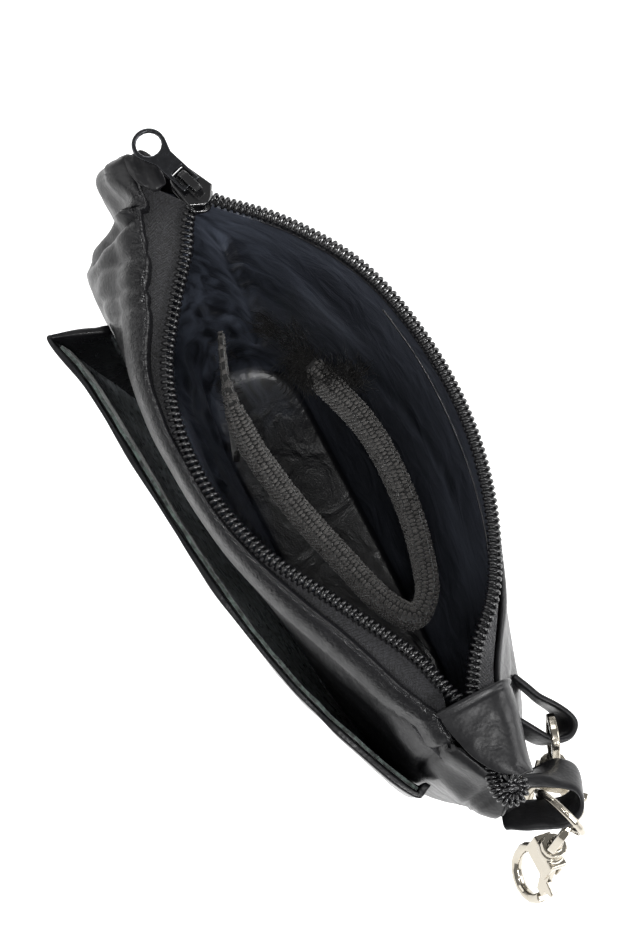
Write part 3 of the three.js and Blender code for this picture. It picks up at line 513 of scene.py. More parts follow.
def shapeRoll(co, across, place, foot, middle, ridge):
    # moves the roll's inner edge out to its line and plumps it up; gives how strongly its ridge shows
    lip = np.interp(place, *acrossOf(rollEdge["solid"], middle))
    shift = np.maximum(lip - np.interp(place, *acrossOf(rollEdge["wanted"], middle)), 0)
    reach = rollEdge["reach"] * mm
    top = smoothStep(co[:, 2], 0.121, 0.131)
    # round the closed end the roll is moved straight across
    endPart = smoothStep(co[:, 0], 0.064, 0.070)
    lipY = np.interp(co[:, 0], *np.array(rollEdge["solid"]).T * mm)
    straight = lipY - co[:, 1]
    move = np.maximum(np.interp(co[:, 0], *np.array(rollEdge["wanted"]).T * mm) - lipY, 0)
    move *= (1 - smoothStep(straight, 0, reach)) * top
    shift *= (1 - smoothStep(across, lip, lip + reach)) * top * (1 - endPart)
    co[:, :2] -= outwardsFrom(co, foot, across) * shift[:, None]
    co[:, 1] += move * endPart
    plump = (1 - endPart) * bell(across - lip - 1.6 * mm, 2.6 * mm)
    plump += endPart * bell(straight - 1.6 * mm, 2.6 * mm)
    co[:, 2] += rollEdge["lift"] * mm * plump * ridge
    for lobe in lobes:
        near = bell(np.linalg.norm(co[:, :2] - np.array(lobe["at"]) * mm, axis=1), lobe["size"] * mm)
        near *= smoothStep(co[:, 2], 0.085, 0.115)
        co[:, :2] += near[:, None] * np.array(lobe["push"]) * mm
    return ridge * bell(np.maximum(across - lip - 2.0 * mm, 0), 2.2 * mm)


def dressShell(node, name, middle):
    piece = softCopy(node, name, shell["levels"], softAbove=0.128)
    co, n = points(piece), normals(piece)
    along, across, place, foot = railCoordinates(co, middle)
    low = 1 - smoothStep(co[:, 2], 0.118, 0.130)       # the sides billow, the padded edge stays full
    low *= smoothStep(co[:, 2], 0.003, 0.02)
    push = shell["billow"] * noiseAt(co, shell["billowSize"] * mm, 3.1) * low
    push += shell["ruck"] * noiseAt(co, np.array(shell["ruckSize"]) * mm, 7.7) * (0.3 + 0.7 * low)
    ridge = smoothStep(co[:, 2], shell["crinkleFrom"] * mm, (shell["crinkleFrom"] + 2.2) * mm)
    if middle < 11:
        for fold in edgeFolds:
            push -= foldDepthAt(co, fold)
        ridge = shapeRoll(co, across, place, foot, middle, ridge)
    else:
        close = smoothStep(co[:, 2], 0.09, 0.12) * (1 - smoothStep(co[:, 0], 0.035, 0.055))
        # the thin edge lies close against the zip
        co[:, :2] -= outwardsFrom(co, foot, across) * (0.7 * mm * close)[:, None]
    co = co + n * (push * mm)[:, None]
    movePoints(piece, co)
    addRailUv(piece, along, co[:, 2] - across)
    ends = 1 - smoothStep(np.abs(co[:, 0] + 4 * mm), 0.074, 0.082)
    addMask(piece, "crinkle", (0.05 + 0.95 * ridge) * ends)
    addMask(piece, "pleated", ends * smoothStep(co[:, 2], 0.095, 0.115))
    return dressed(piece, shellLeather, nodes=[node])


frontShell = dressShell("front_panel", "frontShell", 5.5)
dressShell("back_panel", "backShell", 16.0)
dressed(softCopy("base_panel", "baseLeather", 1), plainLeather, nodes=["base_panel"])
print("shell dressed")


# Repeated small shapes, by Geometry Nodes.
def groupTree(name, *numbers):
    # a tree with geometry, numbers and a material in, and geometry out
    tree = bpy.data.node_groups.new(name, "GeometryNodeTree")
    tree.interface.new_socket("Geometry", in_out="INPUT", socket_type="NodeSocketGeometry")
    for key in numbers:
        tree.interface.new_socket(key, in_out="INPUT", socket_type="NodeSocketFloat")
    tree.interface.new_socket("Material", in_out="INPUT", socket_type="NodeSocketMaterial")
    tree.interface.new_socket("Geometry", in_out="OUTPUT", socket_type="NodeSocketGeometry")
    return tree, addNode(tree, "NodeGroupInput").outputs


def endTree(tree, geometry, given):
    real = addNode(tree, "GeometryNodeRealizeInstances", None, {0: geometry})
    smooth = addNode(tree, "GeometryNodeSetShadeSmooth", None, {0: real.outputs[0]})
    finished = addNode(tree, "GeometryNodeSetMaterial", None,
                       {"Geometry": smooth.outputs[0], "Material": given["Material"]})
    addNode(tree, "NodeGroupOutput", None, {0: finished.outputs[0]})
    return tree


def onSpots(tree, given, shape):
    # the shape on every spot, its X turned along "ahead", its Z to "facing", scaled by "size"
    ahead, facing, size = [addNode(tree, "GeometryNodeInputNamedAttribute", {"data_type": "FLOAT_VECTOR"},
                                   {"Name": key}).outputs[0] for key in ("ahead", "facing", "size")]
    turned = addNode(tree, "FunctionNodeAxesToRotation", {"primary_axis": "X", "secondary_axis": "Z"},
                     {0: ahead, 1: facing})
    placed = addNode(tree, "GeometryNodeInstanceOnPoints", None, {
        "Points": given["Geometry"], "Instance": shape, "Rotation": turned.outputs[0], "Scale": size})
    return placed.outputs[0]


def grainTree():
    # one rounded grain of thread on every spot
    tree, given = groupTree("threadGrains")
    grain = addNode(tree, "GeometryNodeMeshUVSphere", None, {"Segments": 8, "Rings": 4, "Radius": 0.5})
    return endTree(tree, onSpots(tree, given, grain.outputs[0]), given)


def strandTree():
    # one thin, swaying strand on every spot
    tree, given = groupTree("looseStrands", "Wire", "Sway")
    line = addNode(tree, "GeometryNodeCurvePrimitiveLine", None, {"Start": (0, 0, 0), "End": (1, 0, 0)})
    fine = addNode(tree, "GeometryNodeResampleCurve", {"mode": "COUNT"},
                   {"Curve": line.outputs[0], "Count": 7})
    real = addNode(tree, "GeometryNodeRealizeInstances", None, {0: onSpots(tree, given, fine.outputs[0])})
    share = addNode(tree, "GeometryNodeSplineParameter").outputs["Factor"]
    place = addNode(tree, "GeometryNodeInputPosition").outputs[0]
    gust = addNode(tree, "ShaderNodeTexNoise", None,
                   {"Vector": place, "Scale": 1 / (3.0 * mm), "Detail": 1.0})
    centred = addNode(tree, "ShaderNodeVectorMath", {"operation": "SUBTRACT"},
                      {0: gust.outputs["Color"], 1: (0.5, 0.5, 0.5)})
    amount = worked(tree, "MULTIPLY", share, given["Sway"])
    push = addNode(tree, "ShaderNodeVectorMath", {"operation": "SCALE"},
                   {0: centred.outputs[0], "Scale": amount})
    moved = addNode(tree, "GeometryNodeSetPosition", None,
                    {"Geometry": real.outputs[0], "Offset": push.outputs[0]})
    ring = addNode(tree, "GeometryNodeCurvePrimitiveCircle", None, {"Resolution": 3, "Radius": given["Wire"]})
    tubes = addNode(tree, "GeometryNodeCurveToMesh", None,
                    {"Curve": moved.outputs[0], "Profile Curve": ring.outputs[0]})
    return endTree(tree, tubes.outputs[0], given)


def cordTree():
    # a round cord along the line
    tree, given = groupTree("seamCord", "Radius")
    ring = addNode(tree, "GeometryNodeCurvePrimitiveCircle", None,
                   {"Resolution": 8, "Radius": given["Radius"]})
    tube = addNode(tree, "GeometryNodeCurveToMesh", None,
                   {"Curve": given["Geometry"], "Profile Curve": ring.outputs[0], "Fill Caps": True})
    return endTree(tree, tube.outputs[0], given)


def coilTree():
    # one turn of nylon wire at every pitch along the line, with a swollen head on its inner side
    tree, given = groupTree("coilTurns", "Pitch", "Wire", "Width", "Height", "Head")
    line = addNode(tree, "GeometryNodeResampleCurve", {"mode": "LENGTH"},
                   {"Curve": given["Geometry"], "Length": given["Pitch"]})
    turn = addNode(tree, "GeometryNodeCurveSpiral", None, {
        "Resolution": 16, "Rotations": 1.0, "Start Radius": 1.0, "End Radius": 1.0, "Height": 1.0})
    size = addNode(tree, "ShaderNodeCombineXYZ")
    for index, name in ((0, "Height"), (1, "Width")):
        tree.links.new(worked(tree, "MULTIPLY", given[name], 0.5), size.inputs[index])
    tree.links.new(given["Pitch"], size.inputs[2])
    place = addNode(tree, "GeometryNodeInputPosition").outputs[0]
    side = addNode(tree, "ShaderNodeSeparateXYZ", None, {0: place})
    swell = addNode(tree, "ShaderNodeMapRange", {"interpolation_type": "SMOOTHSTEP"},
                    {"Value": side.outputs[1], 1: 0.45, 2: 0.95, 3: 1.0, 4: given["Head"]})
    headed = addNode(tree, "GeometryNodeSetCurveRadius", None,
                     {"Curve": turn.outputs[0], "Radius": swell.outputs[0]})
    shaped = addNode(tree, "GeometryNodeTransform", None,
                     {"Geometry": headed.outputs[0], "Scale": size.outputs[0]})
    lying = addNode(tree, "GeometryNodeTransform", None,
                    {"Geometry": shaped.outputs[0], "Rotation": (0.0, math.pi / 2, 0.0)})
    ring = addNode(tree, "GeometryNodeCurvePrimitiveCircle", None, {"Resolution": 7, "Radius": given["Wire"]})
    wire = addNode(tree, "GeometryNodeCurveToMesh", None,
                   {"Curve": lying.outputs[0], "Profile Curve": ring.outputs[0]})
    ahead = addNode(tree, "GeometryNodeInputTangent")
    turned = addNode(tree, "FunctionNodeAlignRotationToVector", {"axis": "X", "pivot_axis": "Z"},
                     {"Vector": ahead.outputs[0]})
    placed = addNode(tree, "GeometryNodeInstanceOnPoints", None,
                     {"Points": line.outputs[0], "Instance": wire.outputs[0], "Rotation": turned.outputs[0]})
    return endTree(tree, placed.outputs[0], given)


def grown(name, carrier, tree, **values):
    # runs a tree on its carrier, gives the plain mesh and drops the carrier
    bpy.context.scene.collection.objects.link(carrier)
    modifier = carrier.modifiers.new("made", "NODES")
    modifier.node_group = tree
    sockets = {s.name: s.identifier for s in tree.interface.items_tree if s.in_out == "INPUT"}
    for key, value in values.items():
        modifier[sockets[key]] = value
    mesh = evaluatedMesh(carrier, name)
    bpy.data.objects.remove(carrier)
    return addObject(name, mesh)


def lineCarrier(name, line):
    curve = bpy.data.curves.new(name + "Line", "CURVE")
    curve.dimensions = "3D"
    spline = curve.splines.new("POLY")
    spline.points.add(len(line) - 1)
    spline.points.foreach_set("co", [c for p in line for c in (*p, 1.0)])
    return bpy.data.objects.new(name + "Line", curve)


def spotCarrier(name, places, ahead, facing, size):
    mesh = bpy.data.meshes.new(name + "Spots")
    mesh.from_pydata([tuple(p) for p in places], [], [])
    for key, rows in (("ahead", ahead), ("facing", facing), ("size", size)):
        layer = mesh.attributes.new(key, "FLOAT_VECTOR", "POINT")
        layer.data.foreach_set("vector", np.ascontiguousarray(rows, np.float32).ravel())
    return bpy.data.objects.new(name + "Spots", mesh)


grains, strands, cords, turns = grainTree(), strandTree(), cordTree(), coilTree()


# Lining.
liningCloth = {"levels": 3, "fold": 1.6, "foldSize": (16.0, 16.0, 30.0), "crease": 0.5, "creaseSize": 7.0,
               "seamDepth": 15.0, "seamRadius": 0.3}
# Folds of the loose cloth: a line on the cloth, how far it stands in (or back, below 0), and half width.
liningFolds = [
    {"line": [(-75, 3.5, 100), (-72.2, 5.3, 75), (-68.4, 7.7, 60), (-65.3, 8.8, 40), (-63.8, 7.6, 22)],
     "height": 3.4, "half": 3.0},
    {"line": [(-74.4, -4.2, 36), (-70.5, 1.8, 31.5), (-64.5, 7.4, 25)], "height": 2.8, "half": 1.7},
    {"line": [(-67.6, 3.4, 24), (-66, -2.3, 15), (-63.7, -6.8, 10), (-57.5, -12.4, 6.6)],
     "height": 2.4, "half": 1.6},
    {"line": [(-60, -17.6, 34), (-56.5, -15, 18), (-50, -14, 8)], "height": 3.2, "half": 6.0},
    {"line": [(-52, -19.6, 39), (-40, -22.6, 56), (-30.4, -23.2, 58), (-19.5, -24.4, 66)],
     "height": 2.2, "half": 1.8},
    {"line": [(-44.2, -17.9, 28), (-33, -21, 44), (-19.5, -24.2, 64)], "height": -1.6, "half": 1.6},
    {"line": [(-19, -24.6, 68), (-13, -23.4, 56), (-7.7, -18.4, 28)], "height": 1.8, "half": 1.7},
    {"line": [(20, -20, 40), (32, -15, 30), (44, -9, 20)], "height": 1.4, "half": 2.4},
    {"line": [(37, 11, 5), (44, 14, 24), (50, 17, 48)], "height": 1.8, "half": 2.2},
    {"line": [(48, 10, 6), (54, 12, 30), (60, 13, 60)], "height": 1.6, "half": 1.8},
    {"line": [(-30, 22, 70), (-10, 26, 82), (12, 26, 88)], "height": 1.0, "half": 5.0},
]


def distanceToLine(co, line):
    line = np.array(line) * mm
    nearest = np.full(len(co), np.inf)
    for start, end in zip(line[:-1], line[1:]):
        way = end - start
        share = np.clip((co - start) @ way / (way @ way), 0, 1)
        nearest = np.minimum(nearest, np.linalg.norm(co - start - share[:, None] * way, axis=1))
    return nearest


lining = softCopy("lining", "satinLining", liningCloth["levels"])
co, n = points(lining), normals(lining)
inside = smoothStep(co[:, 2], 0.006, 0.016) * (1 - smoothStep(co[:, 2], 0.120, 0.128))
push = liningCloth["fold"] * (np.abs(noiseAt(co, np.array(liningCloth["foldSize"]) * mm, 5.0)) - 0.2)
push += liningCloth["crease"] * noiseAt(co, liningCloth["creaseSize"] * mm, 9.0)
push = np.maximum(push, -0.2) * inside * (1 - 0.7 * smoothStep(co[:, 1], 0.004, 0.014))     # taut at the back
wander = 1 + 0.35 * noiseAt(co, 6 * mm, 2.0)
for fold in liningFolds:
    push += fold["height"] * bell(distanceToLine(co, fold["line"]), fold["half"] * wander * mm)
inward = np.stack([-0.35 * co[:, 0], -co[:, 1], 0.03 - 0.3 * co[:, 2]], 1)
inward[:, 2] = np.maximum(inward[:, 2], 0)
inward /= np.linalg.norm(inward, axis=1)[:, None] + 1e-9
movePoints(lining, co + inward * (np.maximum(push, -0.3) * mm)[:, None])
# painted light: share of the cloth whose fold crests are painted lighter, most at the front-left end and less along
# the front wall
addMask(lining, "paintedLightShare", smoothStep(-co[:, 0], 0.034, 0.056) * (1 - smoothStep(co[:, 1], 0.006, 0.018))
        + 0.45 * smoothStep(-co[:, 1], 0.008, 0.016) * (1 - smoothStep(-co[:, 0], 0.034, 0.056)))
dressed(lining, satin, nodes=["lining"])


wall = wallOf(lining)
for side, first, last in (("back", 13.0, 17.6), ("front", 4.6, 9.0)):
    seamLine = []
    for k in range(int((last - first) * 10) + 1):
        near, far = (lineAt(mouth["line"], first + k / 10 + d) for d in (0, 0.02))
        way = Vector((far[1] - near[1], near[0] - far[0], 0)).normalized()      # out of the mouth
        depth = liningCloth["seamDepth"] * (0.75 + 0.5 * math.sin(math.pi * k / (10 * (last - first))))
        start = Vector((near[0] * mm, near[1] * mm, (mouth["height"] - depth) * mm)) - way * 6 * mm
        hit = wall.ray_cast(start, way, 14 * mm)[0]
        if hit:
            seamLine.append(tuple(hit - way * 0.05 * mm))
    seam = grown(side + "LiningSeam", lineCarrier(side + "LiningSeam", seamLine), cords,
                 Radius=liningCloth["seamRadius"] * mm, Material=satin)
    dressed(seam, satin)
print("lining dressed")


# Zip.
tapeRun = {
    "frontTape": {"inwards": (1.5, 0.0), "down": (0.5, 0.0)},   # mm at the coil and at the shell
    "backTape": {"inwards": (2.4, 1.7), "down": (0.7, 2.6)},
}


def edgeOf(value, station, place, pick, start):
    # the least or greatest value at each station of the mouth line, read back at every point
    stations, row = np.unique(station, return_inverse=True)
    edge = np.full(len(stations), start)
    pick.at(edge, row, value)
    return np.interp(place, stations / 4, edge)


def dressTape(node, name, middle):
    # the tape runs on under its coil, and the back one goes down inside the edge of the shell
    piece = softCopy(node, name, 3)
    co = points(piece)
    along, across, place, foot = railCoordinates(co, middle)
    station = np.round(place * 4)
    near = edgeOf(across, station, place, np.minimum, 1.0)
    far = edgeOf(across, station, place, np.maximum, -1.0)
    share = np.clip((across - near) / (far - near + 1e-6), 0, 1)
    outwards = outwardsFrom(co, foot, across)
    co[:, :2] -= outwards * (np.interp(share, (0, 1), tapeRun[name]["inwards"]) * mm)[:, None]
    co[:, 2] -= np.interp(share, (0, 1), tapeRun[name]["down"]) * mm
    movePoints(piece, co)
    addRailUv(piece, along, across)
    dressed(piece, tapeCloth, nodes=[node])


dressTape("front_tape", "frontTape", 5.5)
dressTape("back_tape", "backTape", 16.0)

coil = {"pitch": 1.6, "wire": 0.46, "width": 2.8, "height": 2.2, "head": 1.45}


def mouthPath(start, end):
    count = int((end - start) * 12)
    flat = [lineAt(mouth["line"], start + (end - start) * k / count) for k in range(count + 1)]
    return [(p[0] * mm, p[1] * mm, mouth["height"] * mm) for p in flat]


coilSizes = {"Pitch": coil["pitch"] * mm, "Wire": coil["wire"] * mm, "Width": coil["width"] * mm,
             "Height": coil["height"] * mm, "Head": coil["head"], "Material": nylon}
frontCoil = grown("frontCoil", lineCarrier("frontCoil", mouthPath(1.2, 10.6)), turns, **coilSizes)
backCoil = grown("backCoil", lineCarrier("backCoil", mouthPath(11.6, 20.3)), turns, **coilSizes)
dressed(frontCoil, nylon, nodes=["front_coil"])
dressed(backCoil, nylon, nodes=["back_coil"])

# The closed end: both coils meshed, pulled out from under the tab and curled up.
tail = {"line": [(74, 0.2, 134.8), (80, -0.6, 134.8), (84.5, -1.4, 135.0), (88.4, -2.4, 135.6), (91.9, -3.0, 136.4),
                 (95.0, -2.0, 136.8), (95.8, 0.4, 137.2), (94.2, 2.1, 137.8), (91.9, 1.8, 138.4), (91.3, 0.1, 138.8),
                 (93.0, -0.5, 139.2), (94.4, 0.5, 139.4)],
        "pitch": 1.05, "wire": 0.46, "width": 3.2, "height": 1.9}
tailPath = [tuple(lineAt(tail["line"], 1 + k / 10) * mm) for k in range((len(tail["line"]) - 3) * 10 + 1)]
zipTail = grown("zipTail", lineCarrier("zipTail", tailPath), turns, Pitch=tail["pitch"] * mm,
                Wire=tail["wire"] * mm, Width=tail["width"] * mm, Height=tail["height"] * mm, Head=1.3,
                Material=nylon)
dressed(zipTail, nylon, nodes=["zip_tail"])
print("zip made")


# Pocket, tabs and straps.
shellWall = wallOf(frontShell)
pocketLeather = {"billow": 0.5, "ruck": 0.3, "tuck": 5.0}


def seated(co, wallTree):
    # draws the points near a wall most of the way up to it, from further off at the foot
    reach = (3.0 + 6.0 * (1 - smoothStep(co[:, 2], 0.010, 0.034))) * mm
    for k, p in enumerate(co):
        hit, normal, face, distance = wallTree.find_nearest(Vector(p), reach[k])
        if hit is not None:
            share = min(max((distance / reach[k] - 0.5) / 0.5, 0), 1)
            hit = np.array(hit)
            co[k] = hit + (p - hit) * (0.2 + 0.8 * share * share * (3 - 2 * share))
    return co


def laidOn(co, outer, wallTree):
    # below its rim the pocket falls back towards the shell, most at the clip end, but stays outside it
    way = Vector((-0.35, 0.94, 0)).normalized()
    amount = pocketLeather["tuck"] * mm * (1 - smoothStep(co[:, 2], 0.035, 0.108))
    amount *= smoothStep(co[:, 0], -0.02, 0.03)
    for k, p in enumerate(co):
        hit, normal, face, distance = wallTree.ray_cast(Vector(p) - way * 0.03, way, 0.1)
        if hit is not None:
            gap = distance - 0.03
            left = gap * gap / (gap + amount[k] + 1e-6) if gap > 0 else 0
            co[k] += np.array(way) * (gap - max(left, (0.2 + 1.3 * outer[k]) * mm))
    return co


pocket = softCopy("front_pocket", "slipPocket", 3, crease=0.6)
co, n = points(pocket), normals(pocket)
push = pocketLeather["billow"] * noiseAt(co, 22 * mm, 2.2)
push += pocketLeather["ruck"] * noiseAt(co, np.array([9, 9, 14]) * mm, 4.4)
outer = smoothStep(n @ np.array([0.35, -0.94, 0]), -0.3, 0.3)
movePoints(pocket, laidOn(seated(co + n * (push * mm)[:, None], shellWall), outer, shellWall))
# painted light: the pocket's inner face below its rim takes the lighter painted grey
inner = smoothStep(normals(pocket) @ np.array([-0.35, 0.94, 0]), 0.1, 0.6)
addMask(pocket, "paintedPocketLightShare", inner * (1 - smoothStep(points(pocket)[:, 2], 0.109, 0.112)))
dressed(pocket, rimLeather, nodes=["front_pocket"])
hem = softCopy("pocket_hem", "pocketHem", 4)
co = points(hem)
co[:, 2] += (0.5 * noiseAt(co, 5 * mm, 6.0) - 0.1) * mm * smoothStep(co[:, 2], 0.108, 0.112)   # a hand-cut edge
co += 0.25 * mm * np.stack([noiseAt(co, 6 * mm, k) for k in (1.0, 2.0, 3.0)], 1) * np.array([0.3, 1, 0.3])
movePoints(hem, co)
dressed(hem, suede, nodes=["pocket_hem"])

endTab = softCopy("end_tab", "endTab", 4)
co, n = points(endTab), normals(endTab)
edge = co[:, 0] * 1000 - 69.6                       # from the mouth edge along the tab
push = -0.32 * bell(edge - 1.7, 0.4)   # the turned hem's seam
push += 0.34 * bell(edge - 0.8, 0.7)
push += 0.4 * noiseAt(co, np.array([9, 6, 9]) * mm, 3.0) * smoothStep(edge, 2.5, 6.0)
push += 0.1 * noiseAt(co, 2.6 * mm, 8.0) * smoothStep(edge, 3.0, 6.0) * (1 - smoothStep(edge, 11.0, 17.0))
movePoints(endTab, co + n * (push * mm)[:, None])
dressed(endTab, plainLeather, nodes=["end_tab"])

sliderTab = softCopy("slider_tab", "sliderTab", 4, crease=0.4)
co, n = points(sliderTab), normals(sliderTab)
push = 0.7 * noiseAt(co, np.array([7, 2.6, 9]) * mm, 3.0) + 0.12 * noiseAt(co, 1.6 * mm, 5.0)
movePoints(sliderTab, co + n * (push * mm)[:, None])
dressed(sliderTab, plainLeather, nodes=["slider_tab"])

# Straps: how their upper edge leans at the turn, and how far their ends reach into the shell's side.
straps = [
    {"node": "back_strap", "name": "backStrap", "height": 112, "lean": (0.22, 0.42), "from": 74, "to": 85,
     "ends": [((70, 17.4), (-2.6, -1.6)), ((80.8, 12.6), (-3.9, -2.1))]},
    {"node": "side_strap", "name": "sideStrap", "height": 121, "lean": (0.8, -0.4), "from": 90, "to": 94,
     "ends": [((99.4, -2.4), (-2.4, -0.9)), ((91.4, 7.4), (-0.4, -3.2))]},
]
for strap in straps:
    piece = softCopy(strap["node"], strap["name"], 4, crease=0.35)
    co, n = points(piece), normals(piece)
    rise = (co[:, 2] - strap["height"] * mm) * smoothStep(co[:, 0], strap["from"] * mm, strap["to"] * mm)
    co += n * (0.22 * mm * noiseAt(co, 5 * mm, strap["height"]))[:, None]
    for end, reach in strap["ends"]:
        near = bell(np.linalg.norm(co[:, :2] - np.array(end) * mm, axis=1), 2.6 * mm)
        co[:, :2] += near[:, None] * np.array(reach) * mm
    co[:, 0] += strap["lean"][0] * rise
    co[:, 1] += strap["lean"][1] * rise
    movePoints(piece, co)
    dressed(piece, plainLeather, nodes=[strap["node"]])
print("pocket, tabs and straps dressed")


# Elastic.
elastic = {
    "line": [(-46.4, -8.4), (-36.4, -12.4), (-22, -14.6), (0, -12), (20, -7), (36, -2), (41.5, 2.5), (38.5, 7.5),
             (27, 12), (10, 14.8), (-8, 14.6), (-20, 11.6), (-29, 8.6)],
    "height": 100.0, "thick": 5.4, "tall": 15.0, "squareness": 0.55,
    "rib": (1.05, 1.65), "bulge": 0.7,       # a thread's float, along the band and across it
}


def openLine(line, steps):
    ends = [line[0]] + list(line) + [line[-1]]
    return np.array([lineAt(ends, 1 + min(k / steps, len(line) - 1 - 1e-6))
                     for k in range((len(line) - 1) * steps + 1)])


# the band under the ribs takes the darker copy, painted as shade between them
loop = softCopy("elastic_loop", "elasticLoop", 3)
movePoints(loop, points(loop) - normals(loop) * 0.25 * mm)
dressed(loop, shadedElasticGround, nodes=["elastic_loop"])
stem = softCopy("elastic_stem", "elasticStem", 2)
dressed(stem, shadedElasticGround, nodes=["elastic_stem"])

random.seed(11)
path = openLine(elastic["line"], 24)
arc = arcOf(path)
ribAlong, ribAcross = elastic["rib"]


def bandAt(t):
    # the middle of the band and its way on, at that length
    here, there = (np.array([np.interp(min(t + d, arc[-1]), arc, path[:, k]) for k in (0, 1)])
                   for d in (0, 0.4))
    return here, (there - here) / (np.linalg.norm(there - here) + 1e-9)


angles = np.linspace(0, 2 * math.pi, 721)
ring = np.stack([np.sign(wave) * np.abs(wave) ** elastic["squareness"] * elastic[breadth] / 2
                 for wave, breadth in ((np.cos(angles), "thick"), (np.sin(angles), "tall"))], 1)
girth = arcOf(ring)
columns = int(round(girth[-1] / ribAcross))
places, ahead, facing, sizes = [], [], [], []
for column in range(columns):
    at = girth[-1] * column / columns
    side, up = (np.interp(at, girth, ring[:, k]) for k in (0, 1))
    slope = np.array([np.interp(at + 0.3, girth, ring[:, k]) - np.interp(at - 0.3, girth, ring[:, k])
                      for k in (0, 1)])
    outer = np.array([slope[1], -slope[0]]) / np.linalg.norm(slope)
    for row in range(int(arc[-1] / ribAlong)):
        t = (row + 0.5 * (column % 2) + random.uniform(-0.12, 0.12)) * ribAlong
        if t > arc[-1] - 0.6:
            continue
        here, way = bandAt(t)
        right = np.array([way[1], -way[0]])
        sway = random.uniform(-0.12, 0.12)
        places.append([*(here + right * (side + outer[0] * sway)), elastic["height"] + up + outer[1] * sway])
        tilt = random.uniform(-0.22, 0.22)
        across = np.array([*(right * -outer[1]), outer[0]])
        ahead.append(np.array([*way, 0]) + across * tilt)
        facing.append([*(right * outer[0]), outer[1]])
        grow = random.uniform(0.85, 1.12)
        sizes.append([ribAlong * 0.86 * grow, ribAcross * 0.93 * grow, elastic["bulge"] * grow])


def edgeOn(co):
    # the sewn end is one flat band seen on edge: thin, then swelling to the rolled width
    line = path * mm
    offset = co[:, None, :2] - line[None, ::6]
    nearest = np.linalg.norm(offset, axis=2).argmin(1)
    slim = 0.3 + 0.7 * smoothStep(arc[::6][nearest], 8, 27)
    middle = line[::6][nearest]
    co[:, :2] = middle + (co[:, :2] - middle) * slim[:, None]
    return co, slim


movePoints(loop, edgeOn(points(loop))[0])
places, slim = edgeOn(np.array(places) * mm)
places /= mm
sizes = np.array(sizes) * (0.35 + 0.65 * slim)[:, None]
spots = spotCarrier("elasticRibs", np.array(places) * mm, ahead, facing, np.array(sizes) * mm)
ribs = grown("elasticRibs", spots, grains, Material=webbing)
dressed(ribs, webbing)

# Frayed cut ends: brushes of loose yarn from a root, each towards its aim, millimetres.
brushes = [
    {"root": (-30.5, 8.2, 105.5), "spread": 3.4, "aims": [(9.5, -7.5, -4), (7, -9, -4), (4, -8, -3), (10, -3.5, -2)],
     "count": 300, "length": (3, 9)},
    {"root": (-30.5, 7.4, 107.0), "spread": 3.0, "aims": [(-5.8, -6, 2), (-2, -7.5, 3), (-8, -3, 3)],
     "count": 120, "length": (2, 4.5)},
    {"root": (-20.5, 15.4, 104.5), "spread": 3.0, "aims": [(-5, 2.6, 3), (0, 5.6, 3), (4.6, 4.4, 2), (-6, -1, 3)],
     "count": 190, "length": (2.5, 6)},
    {"root": (-36, 8.2, 103.5), "spread": 3.6, "aims": [(-7, -3, 2), (-3, -3, 4), (-8, 0.5, 2)],
     "count": 110, "length": (2, 4.5)},
    {"root": (-41.5, 4.4, 102.5), "spread": 2.6, "aims": [(-6, -3, 1), (-3, -4, 3)], "count": 110, "length": (2, 6)},
    {"root": (-24, 11.4, 106.6), "spread": 3.4, "aims": [(1, 3, 3), (3, -3, 3), (-3, 1, 4), (5, 1, 2)],
     "count": 200, "length": (1.5, 4)},
]
random.seed(5)
places, ahead, sizes = [], [], []
for brush in brushes:
    for k in range(brush["count"]):
        aim = np.array(random.choice(brush["aims"]), float)
        aim /= np.linalg.norm(aim)
        aim += np.array([random.gauss(0, 0.24) for axis in range(3)])
        places.append([c + random.gauss(0, brush["spread"] / 2) * (1, 1, 0.5)[axis]
                       for axis, c in enumerate(brush["root"])])
        ahead.append(aim / np.linalg.norm(aim))
        sizes.append([random.uniform(*brush["length"])] * 3)
# the short hairs along the ribbed band
for k in range(700):
    t = random.uniform(0, arc[-1])
    here, way = bandAt(t)
    right = np.array([way[1], -way[0]]) * random.choice((-1, 1))
    lift = random.uniform(0, 1)
    places.append([*(here + right * 2.3 * (1 - lift)), elastic["height"] + 4 + 3.4 * lift])
    ahead.append([*(right + way * random.gauss(0, 0.7)), lift * 0.8])
    sizes.append([random.uniform(0.8, 1.7)] * 3)
facing = np.tile([0.1, 0.2, 1], (len(ahead), 1))
roots = spotCarrier("frayedYarn", np.array(places) * mm, ahead, facing, np.array(sizes) * mm)
fray = grown("frayedYarn", roots, strands, Wire=0.075 * mm, Sway=4.5 * mm, Material=yarn)
dressed(fray, yarn, nodes=["fray_inner", "fray_outer"])
print("elastic dressed")


# Metal.
def castCopy(node, name, material, body, voxel=0.2, rounds=6, reshape=None):
    # a cast piece: the solid's own shape with its edges softened all over
    piece = softCopy(node, name, 0)
    if reshape:
        movePoints(piece, reshape(points(piece)))
    remesh = piece.modifiers.new("cast", "REMESH")
    remesh.mode = "VOXEL"
    remesh.voxel_size = voxel * mm
    remesh.use_smooth_shade = True
    smooth = piece.modifiers.new("soften", "SMOOTH")
    smooth.factor = 0.5
    smooth.iterations = rounds
    piece = frozen(piece)
    return dressed(piece, material, body, [node])


# The pull lies along the slider; its window closes round the crown.
pullHinge = next(joint for joint in frame["joints"] if joint["name"] == "zip_pull_hinge")
pullShape = {"window": 7.0, "windowHalf": 1.7, "closed": 4.7}


def closedWindow(co):
    axis = np.array(pullHinge["axis"][:2])
    way = np.array([axis[1], -axis[0]])
    offset = (co[:, :2] - np.array(pullHinge["pos_m"][:2])) / mm
    along, side = offset @ way, offset @ axis
    far = (np.abs(along + pullShape["window"]) < 0.35) & (np.abs(side) < pullShape["windowHalf"] + 0.35)
    co[far, :2] += way * (pullShape["window"] - pullShape["closed"]) * mm
    return co


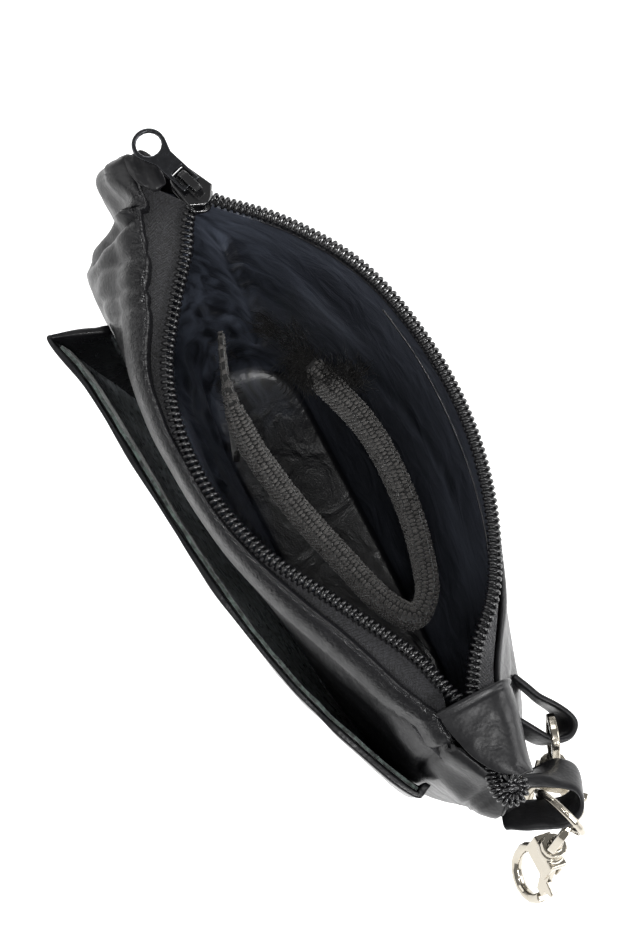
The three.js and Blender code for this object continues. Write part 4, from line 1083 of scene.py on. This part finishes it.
castCopy("zip_slider", "zipSlider", enamel, "bag", 0.12, 5)
castCopy("zip_pull", "zipPull", gunmetal, "pull", 0.12, 5, closedWindow)
castCopy("side_ring", "sideRing", nickel, "bag", 0.16, 16)
for side in ("back", "side"):
    castCopy(f"{side}_clip_eye", f"{side}ClipEye", nickel, "bag", 0.16, 22)
    castCopy(f"{side}_clip_hook", f"{side}ClipHook", nickel, f"{side}_hook", 0.18, 26)
    castCopy(f"{side}_clip_gate", f"{side}ClipGate", nickel, f"{side}_gate", 0.14, 10)
print("metal made")


# Floor, light and camera.
def matteFloor():
    # plain white paper sweep
    material, tree, shader = newMaterial("whitePaper", "#f4f4f4", 0.9, **{"Emission Strength": 0.6})
    shader.inputs["Emission Color"].default_value = linearColour("#ffffff")
    return material


floorMesh = bpy.data.meshes.new("floor")
reach = 40.0
floorMesh.from_pydata([(-reach, -reach, 0), (reach, -reach, 0), (reach, reach, 0), (-reach, reach, 0)], [],
                      [(0, 1, 2, 3)])
floor = addObject("floor", floorMesh)
floor.data.materials.append(matteFloor())

studio = {
    "world": 0.34,
    "lamps": [
        {"name": "backSoftbox", "place": (0.45, 1.15, 0.85), "size": 1.1, "power": 16},
        {"name": "frontSoftbox", "place": (-0.75, -1.0, 0.95), "size": 1.1, "power": 6},
        {"name": "leftSoftbox", "place": (-1.2, 0.4, 0.9), "size": 0.8, "power": 6},
        {"name": "rightSoftbox", "place": (1.1, 0.1, 1.0), "size": 0.45, "power": 13},
        {"name": "overheadLamp", "place": (0.27, -0.14, 1.27), "size": 0.14, "power": 5},
    ],
}
world = bpy.data.worlds.new("studio")
bpy.context.scene.world = world
world.use_nodes = True
world.node_tree.nodes["Background"].inputs[0].default_value = (1, 1, 1, 1)
world.node_tree.nodes["Background"].inputs[1].default_value = studio["world"]
for lamp in studio["lamps"]:
    data = bpy.data.lights.new(lamp["name"], "AREA")
    data.shape = "DISK"
    data.size = lamp["size"]
    data.energy = lamp["power"]
    light = bpy.data.objects.new(lamp["name"], data)
    light.location = lamp["place"]
    light.rotation_euler = (Vector((0, 0, 0.1)) - Vector(lamp["place"])).to_track_quat("-Z", "Y").to_euler()
    bpy.context.scene.collection.objects.link(light)

view = {"azimuth": 63.0, "elevation": 77.0, "distance": 0.620, "lens": 96.84, "target": (4.015, -5.469, 134.60)}
a, e = math.radians(view["azimuth"]), math.radians(view["elevation"])
back = Vector((math.sin(a) * math.cos(e), -math.cos(a) * math.cos(e), math.sin(e)))
right = Vector((math.cos(a), math.sin(a), 0))
up = back.cross(right)
cameraData = bpy.data.cameras.new("camera")
cameraData.lens = view["lens"]
cameraData.sensor_width = 36
camera = bpy.data.objects.new("camera", cameraData)
place = Vector(view["target"]) * mm + back * view["distance"]
camera.matrix_world = Matrix(((right.x, up.x, back.x, place.x), (right.y, up.y, back.y, place.y),
                              (right.z, up.z, back.z, place.z), (0, 0, 0, 1)))
bpy.context.scene.collection.objects.link(camera)
bpy.context.scene.camera = camera
bpy.context.scene.view_settings.view_transform = "Standard"

print("scene ready")
